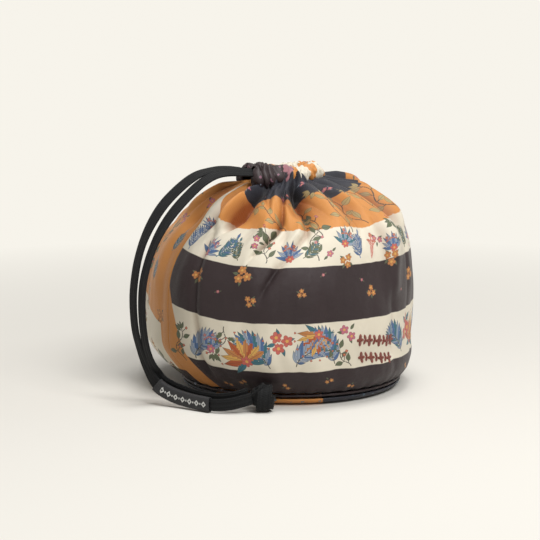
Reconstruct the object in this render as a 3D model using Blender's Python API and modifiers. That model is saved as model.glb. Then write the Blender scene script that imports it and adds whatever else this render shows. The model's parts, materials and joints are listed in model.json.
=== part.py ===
"""Kinchaku drawstring pouch, drawn shut, in metres with +Z up.

The origin is the centre of the round base, on the surface that the pouch stands on. The front panel
faces -Y, the side seams are at -X and +X, and the drawcord leaves the casings at -X.
"""

import math
from collections import namedtuple

import bmesh
import bpy
from mathutils import Vector

# Cloth and the clearance between separate pieces.
CLOTH = 0.0010
GAP = 0.0003

# Base: a flat round of cloth whose edge turns up to the base seam.
BASE_RADIUS = 0.0725
BASE_FLAT_RADIUS = 0.0620
BASE_RISE = 0.0042
PIPING_RADIUS = 0.0009
BASE_SIDES = 40

# Body: bellied below, with a shoulder that rolls over to the gathered mouth.
BELLY_RADIUS = 0.0880
BELLY_HEIGHT = 0.0500
BODY_TOP = 0.1370
NECK_RADIUS = 0.0200
BELLY_LEAN = 0.0082
LEAN_ANGLE = math.radians(143)

# Heights at which one stripe of the cloth gives way to the next.
DARK_HEM_TOP = 0.0245
LOWER_CREAM_TOP = 0.0555
DARK_BAND_TOP = 0.0900
UPPER_CREAM_TOP = 0.1110
AMBER_TOP = 0.1262
STRIPE_ROWS = (3, 2, 2, 3, 4, 6)
# The rows of the top stripe close up towards the mouth, where the cloth lies flattest.
TOP_ROW_CLOSING = 1.5

# Columns of cloth faces in half a turn.
FRONT_COLUMNS = 60
BACK_COLUMNS = 42

# Mouth: an oval ring of two scrunched casings, drawn out to a spout at -X.
MOUTH_CENTRE_X = -0.0070
MOUTH_HALF_LENGTH = 0.0230
MOUTH_HALF_WIDTH = 0.0115
SPOUT_HALF_WIDTH = 0.0056
SPOUT_END_X = -0.0350
CASING_RADIUS = 0.0052
CASING_PLEAT = 0.00075
CASING_PLEATS = 9
CASING_WALL = 0.0006
CASING_SIDES = 8

# Drawcord: a flat braided tape. Its free strands are plain round tubes.
TAPE_WIDTH = 0.0075
TAPE_THICKNESS = 0.0026
STRAND_RADIUS = 0.0016

# Tab: a woven label folded round the outer strand.
TAB_HEIGHT = 0.0094
TAB_DEPTH = 0.0050
TAB_WALL = 0.0005

# Knot that ties the two strands' ends.
KNOT_WIDTH = 0.0150
KNOT_DEPTH = 0.0140
KNOT_HEIGHT = 0.0175
KNOT_BAND = 0.0009

# Middle lines of the two free strands, from the spout to the knot. The outer strand leaves the back
# casing and carries the tab; the inner one leaves the front casing and passes behind the tab.
OUTER_ROUTE = (
    (-0.0357, 0.0056, 0.1425),
    (-0.0440, 0.0051, 0.1438),
    (-0.0540, 0.0044, 0.1448),
    (-0.0640, 0.0039, 0.1444),
    (-0.0720, 0.0037, 0.1428),
    (-0.0800, 0.0036, 0.1392),
    (-0.0895, 0.0036, 0.1330),
    (-0.0980, 0.0036, 0.1260),
    (-0.1050, 0.0036, 0.1180),
    (-0.1110, 0.0036, 0.1090),
    (-0.1158, 0.0036, 0.0990),
    (-0.1196, 0.0036, 0.0860),
    (-0.1218, 0.0036, 0.0690),
    (-0.1208, 0.0036, 0.0500),
    (-0.1172, 0.0034, 0.0355),
    (-0.1135, 0.0012, 0.0236),
    (-0.1104, -0.0045, 0.0138),
    (-0.1060, -0.0125, 0.0086),
    (-0.1018, -0.0224, 0.0062),
    (-0.0981, -0.0331, 0.0053),
    (-0.0938, -0.0440, 0.0051),
    (-0.0870, -0.0518, 0.0062),
    (-0.0800, -0.0558, 0.0080),
    (-0.0748, -0.0573, 0.0090),
)
INNER_ROUTE = (
    (-0.0357, -0.0056, 0.1425),
    (-0.0450, -0.0050, 0.1434),
    (-0.0560, -0.0042, 0.1435),
    (-0.0660, -0.0038, 0.1418),
    (-0.0750, -0.0036, 0.1378),
    (-0.0830, -0.0036, 0.1322),
    (-0.0905, -0.0036, 0.1262),
    (-0.0980, -0.0036, 0.1192),
    (-0.1045, -0.0036, 0.1115),
    (-0.1100, -0.0036, 0.1030),
    (-0.1155, -0.0036, 0.0910),
    (-0.1194, -0.0036, 0.0760),
    (-0.1200, -0.0036, 0.0580),
    (-0.1178, -0.0038, 0.0400),
    (-0.1130, -0.0037, 0.0262),
    (-0.1066, -0.0032, 0.0164),
    (-0.1014, -0.0096, 0.0116),
    (-0.0971, -0.0207, 0.0090),
    (-0.0933, -0.0315, 0.0078),
    (-0.0888, -0.0418, 0.0078),
    (-0.0838, -0.0488, 0.0092),
    (-0.0790, -0.0526, 0.0108),
    (-0.0752, -0.0543, 0.0120),
)
STRAND_POINTS = 40

# Where the tab starts and ends, as shares of the outer strand's length.
TAB_START = 0.735
TAB_END = 0.900

KNOT_CENTRE = (-0.0669, -0.0586)
KNOT_TURN = math.radians(-10)

Fold = namedtuple("Fold", "top_angle foot_angle foot_height lift width crispness")

# Folds of the front panel: the angle where each meets the mouth, the angle and height where it dies
# out, how far it stands out of the cloth (or sinks in), its half width, and how crisp its edge is.
FRONT_FOLDS = (
    Fold(222, 190, 0.106, 0.0058, 0.0064, 1.0),
    Fold(196, 184, 0.104, -0.0060, 0.0068, 1.0),
    Fold(233, 205, 0.108, -0.0084, 0.0082, 1.0),
    Fold(243, 221, 0.106, 0.0038, 0.0060, 1.0),
    Fold(262, 224, 0.062, -0.0032, 0.0030, 0.6),
    Fold(254, 237, 0.112, 0.0036, 0.0040, 1.0),
    Fold(266, 247, 0.112, -0.0062, 0.0042, 0.8),
    Fold(278, 260, 0.104, 0.0044, 0.0070, 1.0),
    Fold(292, 276, 0.106, -0.0026, 0.0040, 0.8),
    Fold(306, 289, 0.060, 0.0030, 0.0080, 1.0),
    Fold(322, 303, 0.100, -0.0052, 0.0060, 0.8),
    Fold(334, 316, 0.098, 0.0044, 0.0070, 1.0),
    Fold(348, 336, 0.100, -0.0040, 0.0060, 1.0),
    Fold(198, 197, 0.048, 0.0020, 0.0090, 1.0),
)

# Folds of the back panel repeat, a ridge and a hollow in turn, with a little variety.
BACK_FOLD_PAIRS = 6
BACK_FOLD_LIFT = 0.0042
BACK_FOLD_WIDTH = 0.0062
BACK_FOLD_FOOT = 0.1020

# Height over which a fold grows from its foot, and over which it dies out below the mouth. The side
# seams are stiffer than the cloth, so folds are calmer within SEAM_CALM of them.
FOLD_RUN = 0.0160
FOLD_FADE = 0.0065
SEAM_CALM = math.radians(9)

# The cloth stands fuller over the shoulder away from the drawcord.
SHOULDER_BULGE = 0.0056
SHOULDER_ANGLE = math.radians(8)
SHOULDER_FOOT = 0.0700
SHOULDER_FULL = 0.1180
SHOULDER_END = 0.1315


def clear_scene():
    """Removes every object, so that the script can run again."""
    for thing in list(bpy.data.objects):
        bpy.data.objects.remove(thing, do_unlink=True)


def new_collection(name, hidden=False):
    """Returns a collection of this name in the scene."""
    group = bpy.data.collections.new(name)
    group.hide_render = hidden
    bpy.context.scene.collection.children.link(group)
    return group


def material(name, colour, roughness, metallic=0.0):
    """Returns a plain Principled material."""
    paint = bpy.data.materials.new(name)
    paint.use_nodes = True
    shader = paint.node_tree.nodes["Principled BSDF"]
    shader.inputs["Base Color"].default_value = (*colour, 1.0)
    shader.inputs["Roughness"].default_value = roughness
    shader.inputs["Metallic"].default_value = metallic
    return paint


def add_object(name, data, group, *paints):
    """Links an object made from a mesh or curve, with its materials."""
    thing = bpy.data.objects.new(name, data)
    for paint in paints:
        data.materials.append(paint)
    group.objects.link(thing)
    return thing


def shade(mesh):
    """Smooth shading with sharp edges kept."""
    mesh.shade_smooth()
    mesh.set_sharp_from_angle(angle=math.radians(50))


def thicken(thing, wall):
    """Gives a shell its wall, on the inside."""
    solid = thing.modifiers.new("Wall", "SOLIDIFY")
    solid.thickness = wall
    solid.offset = -1.0
    solid.use_rim = True


def ease(start, end, value):
    """Smooth step from 0 at start to 1 at end."""
    share = min(max((value - start) / (end - start), 0.0), 1.0)
    return share * share * (3.0 - 2.0 * share)


def wrap(angle):
    """Angle in radians brought between minus pi and pi."""
    return (angle + math.pi) % math.tau - math.pi


# Body surface


def piping_height():
    """Height of the piping's middle line, just above the turned-up edge of the base."""
    return BASE_RISE + CLOTH + GAP + PIPING_RADIUS


def body_foot():
    """Height of the body panels' lower edge, just above the piping."""
    return piping_height() + PIPING_RADIUS + GAP


def body_radius(height):
    """Radius of the plain turned body at this height."""
    if height < BELLY_HEIGHT:
        share = (BELLY_HEIGHT - height) / (BELLY_HEIGHT - body_foot())
        return BASE_RADIUS + (BELLY_RADIUS - BASE_RADIUS) * (1 - min(share, 1) ** 3) ** 0.85
    share = (height - BELLY_HEIGHT) / (BODY_TOP - BELLY_HEIGHT)
    crown = (1 - min(share * 0.985, 1) ** 3) ** 0.65
    crown_end = (1 - 0.985**3) ** 0.65
    return NECK_RADIUS + (BELLY_RADIUS - NECK_RADIUS) * (crown - crown_end) / (1 - crown_end)


def body_slope(height):
    """Angle by which the plain body's outward direction is tipped upwards at this height."""
    step = 0.001
    return math.atan2(body_radius(height - step) - body_radius(height + step), 2 * step)


def stripe_edges():
    """Heights of the stripes' edges, from the foot to the mouth."""
    return (
        body_foot(),
        DARK_HEM_TOP,
        LOWER_CREAM_TOP,
        DARK_BAND_TOP,
        UPPER_CREAM_TOP,
        AMBER_TOP,
        BODY_TOP,
    )


def row_heights():
    """Heights of the rows of faces, with a row on each stripe's edge."""
    edges = stripe_edges()
    rows = [edges[0]]
    for low, high, count in zip(edges, edges[1:], STRIPE_ROWS):
        closing = TOP_ROW_CLOSING if high == edges[-1] else 1.0
        shares = [1 - (1 - (step + 1) / count) ** closing for step in range(count)]
        rows += [low + (high - low) * share for share in shares]
    return rows


def back_folds():
    """The back panel's folds, spaced evenly from seam to seam."""
    folds = []
    spacing = 180.0 / (2 * BACK_FOLD_PAIRS)
    for step in range(2 * BACK_FOLD_PAIRS):
        angle = (step + 0.5) * spacing
        sign = 1 if step % 2 == 0 else -1
        variety = 1.0 + 0.28 * math.sin(2.1 * step + 0.7)
        turn = 5.0 * math.sin(1.3 * step)
        foot = BACK_FOLD_FOOT + 0.005 * math.sin(1.9 * step + 1.0)
        lift = sign * BACK_FOLD_LIFT * variety
        folds.append(Fold(angle + turn, angle, foot, lift, BACK_FOLD_WIDTH * variety, 1.0))
    return tuple(folds)


ALL_FOLDS = FRONT_FOLDS + back_folds()


def fold_lift(angle, height, radius):
    """How far the cloth stands out of the plain body here, from all the folds that cross it."""
    total = 0.0
    fade = 1.0 - ease(BODY_TOP - FOLD_FADE, BODY_TOP, height)
    for fold in ALL_FOLDS:
        share = (height - fold.foot_height) / (BODY_TOP - fold.foot_height)
        rise = ease(fold.foot_height, fold.foot_height + FOLD_RUN, height)
        if rise <= 0.0:
            continue
        centre = math.radians(fold.foot_angle + (fold.top_angle - fold.foot_angle) * share**1.6)
        across = abs(wrap(angle - centre)) * radius / fold.width
        if across < 4.0:
            total += fold.lift * rise * math.exp(-(across ** (2.0 * fold.crispness)))
    from_seam = min(abs(wrap(angle)), math.pi - abs(wrap(angle)))
    return total * fade * ease(-0.4 * SEAM_CALM, SEAM_CALM, from_seam)


def shoulder_lift(angle, height):
    """How far the fuller shoulder stands out of the plain body here."""
    facing = max(0.0, math.cos(angle - SHOULDER_ANGLE)) ** 1.5
    rise = ease(SHOULDER_FOOT, SHOULDER_FULL, height)
    return SHOULDER_BULGE * facing * rise * (1.0 - ease(SHOULDER_END, BODY_TOP, height))


def drape(point):
    """Moves a point of the plain turned body to where the slumped, gathered cloth has it."""
    angle = math.atan2(point.y, point.x)
    height = point.z
    radius = math.hypot(point.x, point.y)
    slope = body_slope(height)
    out = fold_lift(angle, height, radius) + shoulder_lift(angle, height)
    radius_now = radius + out * math.cos(slope)
    height_now = height + out * math.sin(slope)
    gather = ease(0.108, BODY_TOP, height)
    along = 1 + (MOUTH_HALF_LENGTH / NECK_RADIUS - 1) * gather
    across = 1 + (MOUTH_HALF_WIDTH / NECK_RADIUS - 1) * gather
    lean = BELLY_LEAN * ease(body_foot(), 0.036, height) * (1 - 0.75 * ease(0.075, 0.125, height))
    lean *= 1 - gather
    return Vector((
        radius_now * along * math.cos(angle) + lean * math.cos(LEAN_ANGLE) + MOUTH_CENTRE_X * gather,
        radius_now * across * math.sin(angle) + lean * math.sin(LEAN_ANGLE),
        height_now,
    ))


def body_panel(name, side, columns, group, paints):
    """Half of the body: both faces of the cloth are spun from seam to seam, draped and joined.

    side is -1 for the front panel and 1 for the back one.
    """
    mesh = bmesh.new()
    for inset in (0.0, CLOTH):
        chain = [mesh.verts.new(profile_point(height, inset, side)) for height in row_heights()]
        edges = [mesh.edges.new(pair) for pair in zip(chain, chain[1:])]
        bmesh.ops.spin(
            mesh,
            geom=chain + edges,
            cent=(0, 0, 0),
            axis=(0, 0, 1),
            dvec=(0, 0, 0),
            angle=math.pi,
            steps=columns,
            use_merge=False,
        )
    stripe_tops = stripe_edges()[1:-1]
    for face in mesh.faces:
        middle = face.calc_center_median().z
        face.material_index = sum(middle > top for top in stripe_tops)
    for vertex in mesh.verts:
        vertex.co = drape(vertex.co)
        vertex.co.y += side * GAP / 2
    rim = [edge for edge in mesh.edges if edge.is_boundary]
    bmesh.ops.bridge_loops(mesh, edges=rim)
    bmesh.ops.recalc_face_normals(mesh, faces=mesh.faces)
    data = bpy.data.meshes.new(name)
    mesh.to_mesh(data)
    mesh.free()
    shade(data)
    return add_object(name, data, group, *paints)


def profile_point(height, inset, side):
    """Point of the body's profile in the seam plane, moved into the cloth by inset."""
    slope = body_slope(height)
    radius = body_radius(height) - inset * math.cos(slope)
    return Vector((side * radius, 0.0, height - inset * math.sin(slope)))


# Base


def base_panel(group, paint):
    """Round base of cloth, turned up at its edge."""
    mesh = bmesh.new()
    profile = (
        (BASE_FLAT_RADIUS, 0.0),
        (BASE_FLAT_RADIUS + 0.6 * (BASE_RADIUS - BASE_FLAT_RADIUS), 0.24 * BASE_RISE),
        (BASE_RADIUS, BASE_RISE),
    )
    ring = bmesh.ops.create_circle(mesh, cap_ends=True, radius=profile[0][0], segments=BASE_SIDES)
    edges = [edge for edge in mesh.edges if edge.is_boundary]
    for radius, height in profile[1:]:
        grown = bmesh.ops.extrude_edge_only(mesh, edges=edges)["geom"]
        corners = [item for item in grown if isinstance(item, bmesh.types.BMVert)]
        edges = [item for item in grown if isinstance(item, bmesh.types.BMEdge)]
        edges = [edge for edge in edges if all(end in corners for end in edge.verts)]
        for corner in corners:
            reach = math.hypot(corner.co.x, corner.co.y)
            corner.co = Vector((corner.co.x / reach * radius, corner.co.y / reach * radius, height))
    bmesh.ops.recalc_face_normals(mesh, faces=mesh.faces)
    flat = max(mesh.faces, key=lambda face: face.calc_area())
    if flat.normal.z > 0:
        bmesh.ops.reverse_faces(mesh, faces=mesh.faces)
    data = bpy.data.meshes.new("base_panel")
    mesh.to_mesh(data)
    mesh.free()
    shade(data)
    thing = add_object("base_panel", data, group, paint)
    thicken(thing, CLOTH)
    return thing


def base_piping(group, paint):
    """Turned and stitched seam between the body and the base."""
    bpy.ops.mesh.primitive_torus_add(
        major_radius=BASE_RADIUS - PIPING_RADIUS / 2,
        minor_radius=PIPING_RADIUS,
        major_segments=BASE_SIDES,
        minor_segments=6,
        location=(0, 0, piping_height()),
    )
    thing = bpy.context.active_object
    thing.name = "base_piping"
    thing.data.name = "base_piping"
    thing.data.materials.append(paint)
    for owner in list(thing.users_collection):
        owner.objects.unlink(thing)
    group.objects.link(thing)
    shade(thing.data)
    return thing


# Mouth and casings


def casing_height():
    """Height of the casings' middle line, which puts their pleats just above the panels."""
    return BODY_TOP + GAP + CASING_RADIUS


def casing_line(share, side):
    """Point of a casing's middle line: share 0 is its open end at the spout, 1 the far side seam.

    side is -1 for the front casing and 1 for the back one.
    """
    straight = 0.12
    if share < straight:
        x = SPOUT_END_X + (MOUTH_CENTRE_X - MOUTH_HALF_LENGTH - SPOUT_END_X) * share / straight
        return Vector((x, side * SPOUT_HALF_WIDTH, casing_height()))
    turn = math.pi * (share - straight) / (1 - straight)
    x = MOUTH_CENTRE_X - MOUTH_HALF_LENGTH * math.cos(turn)
    if turn < math.pi / 2:
        y = SPOUT_HALF_WIDTH + (MOUTH_HALF_WIDTH - SPOUT_HALF_WIDTH) * math.sin(turn)
    else:
        y = MOUTH_HALF_WIDTH * math.sin(turn)
    return Vector((x, side * y, casing_height()))


def poly_curve(name, points, closed=False):
    """Curve data with one POLY spline through the points."""
    data = bpy.data.curves.new(name, "CURVE")
    data.dimensions = "3D"
    spline = data.splines.new("POLY")
    spline.points.add(len(points) - 1)
    for knot, point in zip(spline.points, points):
        knot.co = (*point, 1.0)
    spline.use_cyclic_u = closed
    return data


def to_mesh_object(thing, name, group, paint):
    """Turns a curve object into a mesh object of this name, with its loose ends welded."""
    graph = bpy.context.evaluated_depsgraph_get()
    data = bpy.data.meshes.new_from_object(thing.evaluated_get(graph))
    data.name = name
    bpy.data.objects.remove(thing, do_unlink=True)
    mesh = bmesh.new()
    mesh.from_mesh(data)
    bmesh.ops.remove_doubles(mesh, verts=mesh.verts, dist=1e-6)
    bmesh.ops.recalc_face_normals(mesh, faces=mesh.faces)
    mesh.to_mesh(data)
    mesh.free()
    data.materials.clear()
    shade(data)
    return add_object(name, data, group, paint)


def casing(name, side, group, paint):
    """Scrunched tunnel: a tube whose radius swells and pinches along its length."""
    count = 3 * CASING_PLEATS
    line = [casing_line(step / count, side) for step in range(count + 1)]
    past_seam = line[-1] - Vector((0.0, side * CASING_RADIUS / 2, 0.0))
    data = poly_curve(name, line + [past_seam])
    for step, knot in enumerate(data.splines[0].points):
        pinch = 0.5 - 0.5 * math.cos(math.tau * step / 3)
        variety = 0.75 + 0.25 * math.sin(2.3 * step)
        knot.radius = 1.0 - CASING_PLEAT / CASING_RADIUS * pinch * variety
    data.bevel_depth = CASING_RADIUS
    data.bevel_resolution = CASING_SIDES // 2 - 2
    data.use_fill_caps = False
    tube = add_object(name + "_line", data, group)
    tunnel = to_mesh_object(tube, name, group, paint)
    cut_at_seam(tunnel.data, side)
    thicken(tunnel, CASING_WALL)
    return tunnel


def cut_at_seam(data, side):
    """Trims what runs past the side seam, a gap short of its plane."""
    mesh = bmesh.new()
    mesh.from_mesh(data)
    bmesh.ops.bisect_plane(
        mesh,
        geom=list(mesh.verts) + list(mesh.edges) + list(mesh.faces),
        plane_co=(0.0, side * GAP, 0.0),
        plane_no=(0.0, side, 0.0),
        clear_inner=True,
    )
    mesh.to_mesh(data)
    mesh.free()


def tape_section(group):
    """Rounded section of the flat tape, standing on edge, as a guide for the sweep."""
    half_width = TAPE_WIDTH / 2
    half_thickness = TAPE_THICKNESS / 2
    round_off = half_thickness * 0.7
    corners = []
    for centre_x, centre_y, turn in (
        (half_thickness - round_off, half_width - round_off, 0),
        (round_off - half_thickness, half_width - round_off, 1),
        (round_off - half_thickness, round_off - half_width, 2),
        (half_thickness - round_off, round_off - half_width, 3),
    ):
        for step in range(2):
            angle = math.pi / 2 * (turn + step)
            corners.append((
                centre_x + round_off * math.cos(angle),
                centre_y + round_off * math.sin(angle),
                0.0,
            ))
    data = poly_curve("tape_section", corners, closed=True)
    data.dimensions = "2D"
    guide = add_object("tape_section", data, group)
    guide.hide_render = True
    guide.display_type = "WIRE"
    return guide


def held_tape(group, section, paint):
    """The tape inside the casings, from one open end round the far side to the other."""
    count = 15
    front = [casing_line(step / count, -1) for step in range(count)]
    back = [casing_line(step / count, 1) for step in range(count)]
    far = casing_line(1.0, 1)
    data = poly_curve("drawcord_in_casing", front + [far] + back[::-1])
    data.twist_mode = "Z_UP"
    data.bevel_mode = "OBJECT"
    data.bevel_object = section
    data.use_fill_caps = True
    sweep = add_object("tape_sweep", data, group)
    return to_mesh_object(sweep, "drawcord_in_casing", group, paint)


# Free cord


def catmull_rom(points, share):
    """Point at share 0 to 1 of a smooth curve through the points."""
    spans = len(points) - 1
    place = min(share * spans, spans - 1e-9)
    index = int(place)
    part = place - index
    ends = [points[min(max(index + step, 0), spans)] for step in (-1, 0, 1, 2)]
    before, start, end, after = (Vector(point) for point in ends)
    return 0.5 * (
        2 * start
        + (end - before) * part
        + (2 * before - 5 * start + 4 * end - after) * part**2
        + (3 * start - before - 3 * end + after) * part**3
    )


def strand_line(route, count):
    """Evenly spaced points of the smooth curve through a strand's route."""
    fine = [catmull_rom(route, step / 800) for step in range(801)]
    lengths = [0.0]
    for start, end in zip(fine, fine[1:]):
        lengths.append(lengths[-1] + (end - start).length)
    points = []
    index = 0
    for step in range(count):
        wanted = lengths[-1] * step / (count - 1)
        while index < 799 and lengths[index + 1] < wanted:
            index += 1
        part = (wanted - lengths[index]) / (lengths[index + 1] - lengths[index])
        points.append(fine[index].lerp(fine[index + 1], part))
    return points


def free_strand(name, route, group, paint):
    """Plain round tube along one free strand, from the casing's end to the knot."""
    data = poly_curve(name, strand_line(route, STRAND_POINTS))
    data.bevel_depth = STRAND_RADIUS
    data.bevel_resolution = 2
    data.use_fill_caps = True
    return add_object(name, data, group, paint)


def cord_tab(group, paint):
    """Woven tab: a flat sleeve that stands on edge and follows the outer strand."""
    steps = 10
    fine = strand_line(OUTER_ROUTE, 400)
    mesh = bmesh.new()
    rings = []
    for step in range(steps + 1):
        index = min(round((TAB_START + (TAB_END - TAB_START) * step / steps) * 399), 397)
        ahead = (fine[index + 2] - fine[index - 2]).normalized()
        across = Vector((ahead.y, -ahead.x, 0.0)).normalized()
        upward = across.cross(ahead)
        outline = rounded_rectangle(TAB_DEPTH / 2, TAB_HEIGHT / 2, TAB_DEPTH / 4)
        rings.append([mesh.verts.new(fine[index] + across * x + upward * y) for x, y in outline])
    for near, far in zip(rings, rings[1:]):
        loop_edges = ring_edges(mesh, near) + ring_edges(mesh, far)
        bmesh.ops.bridge_loops(mesh, edges=loop_edges)
    bmesh.ops.recalc_face_normals(mesh, faces=mesh.faces)
    data = bpy.data.meshes.new("cord_tab")
    mesh.to_mesh(data)
    mesh.free()
    shade(data)
    thing = add_object("cord_tab", data, group, paint)
    thicken(thing, TAB_WALL)
    return thing


def rounded_rectangle(half_width, half_height, corner):
    """Outline of a rectangle with rounded corners, counter-clockwise."""
    outline = []
    for sign_x, sign_y, turn in ((1, 1, 0), (-1, 1, 1), (-1, -1, 2), (1, -1, 3)):
        for step in range(3):
            angle = math.pi / 2 * (turn + step / 2)
            outline.append((
                sign_x * (half_width - corner) + corner * math.cos(angle),
                sign_y * (half_height - corner) + corner * math.sin(angle),
            ))
    return outline


def ring_edges(mesh, ring):
    """Edges that join a ring of vertices, made where they are missing."""
    edges = []
    for first, second in zip(ring, ring[1:] + ring[:1]):
        edge = mesh.edges.get((first, second))
        edges.append(edge or mesh.edges.new((first, second)))
    return edges


def cord_knot(group, paint):
    """Knot of flat tape: a squat rounded block with one turn of tape standing round its waist."""
    mesh = bmesh.new()
    bmesh.ops.create_uvsphere(mesh, u_segments=20, v_segments=12, radius=1.0)
    for vertex in mesh.verts:
        x, y, z = vertex.co
        power = 0.62
        squared = [math.copysign(abs(value) ** power, value) for value in (x, y, z)]
        band = ease(0.62, 0.30, abs(squared[0])) if abs(squared[0]) < 0.62 else 0.0
        swell = 1.0 + KNOT_BAND / (KNOT_WIDTH / 2) * band
        vertex.co = Vector((
            squared[0] * KNOT_WIDTH / 2,
            squared[1] * (KNOT_DEPTH / 2 - KNOT_BAND) * swell,
            squared[2] * (KNOT_HEIGHT / 2 - KNOT_BAND) * swell,
        ))
    bmesh.ops.remove_doubles(mesh, verts=mesh.verts, dist=1e-5)
    bmesh.ops.recalc_face_normals(mesh, faces=mesh.faces)
    lowest = min(vertex.co.z for vertex in mesh.verts)
    data = bpy.data.meshes.new("cord_knot")
    mesh.to_mesh(data)
    mesh.free()
    shade(data)
    thing = add_object("cord_knot", data, group, paint)
    thing.location = (*KNOT_CENTRE, -lowest)
    thing.rotation_euler = (0, 0, KNOT_TURN)
    return thing


def main():
    """Builds the pouch."""
    clear_scene()
    pouch = new_collection("kinchaku_drawstring_pouch")
    guides = new_collection("guides", hidden=True)
    navy = material("navy_satin", (0.035, 0.035, 0.055), 0.45)
    amber = material("amber_satin", (0.72, 0.36, 0.12), 0.45)
    cream = material("cream_satin", (0.80, 0.76, 0.68), 0.45)
    aubergine = material("aubergine_satin", (0.055, 0.036, 0.040), 0.45)
    braid = material("black_braid", (0.018, 0.018, 0.020), 0.60)
    stripes = (aubergine, cream, aubergine, cream, amber, navy)
    body_panel("front_panel", -1, FRONT_COLUMNS, pouch, stripes)
    body_panel("back_panel", 1, BACK_COLUMNS, pouch, stripes)
    base_panel(pouch, amber)
    base_piping(pouch, aubergine)
    casing("front_casing", -1, pouch, aubergine)
    casing("back_casing", 1, pouch, amber)
    section = tape_section(guides)
    held_tape(pouch, section, braid)
    free_strand("drawcord_front_strand", INNER_ROUTE, pouch, braid)
    free_strand("drawcord_back_strand", OUTER_ROUTE, pouch, braid)
    cord_tab(pouch, braid)
    cord_knot(pouch, braid)


main()
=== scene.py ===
"""Kinchaku drawstring pouch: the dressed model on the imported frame."""

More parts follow.
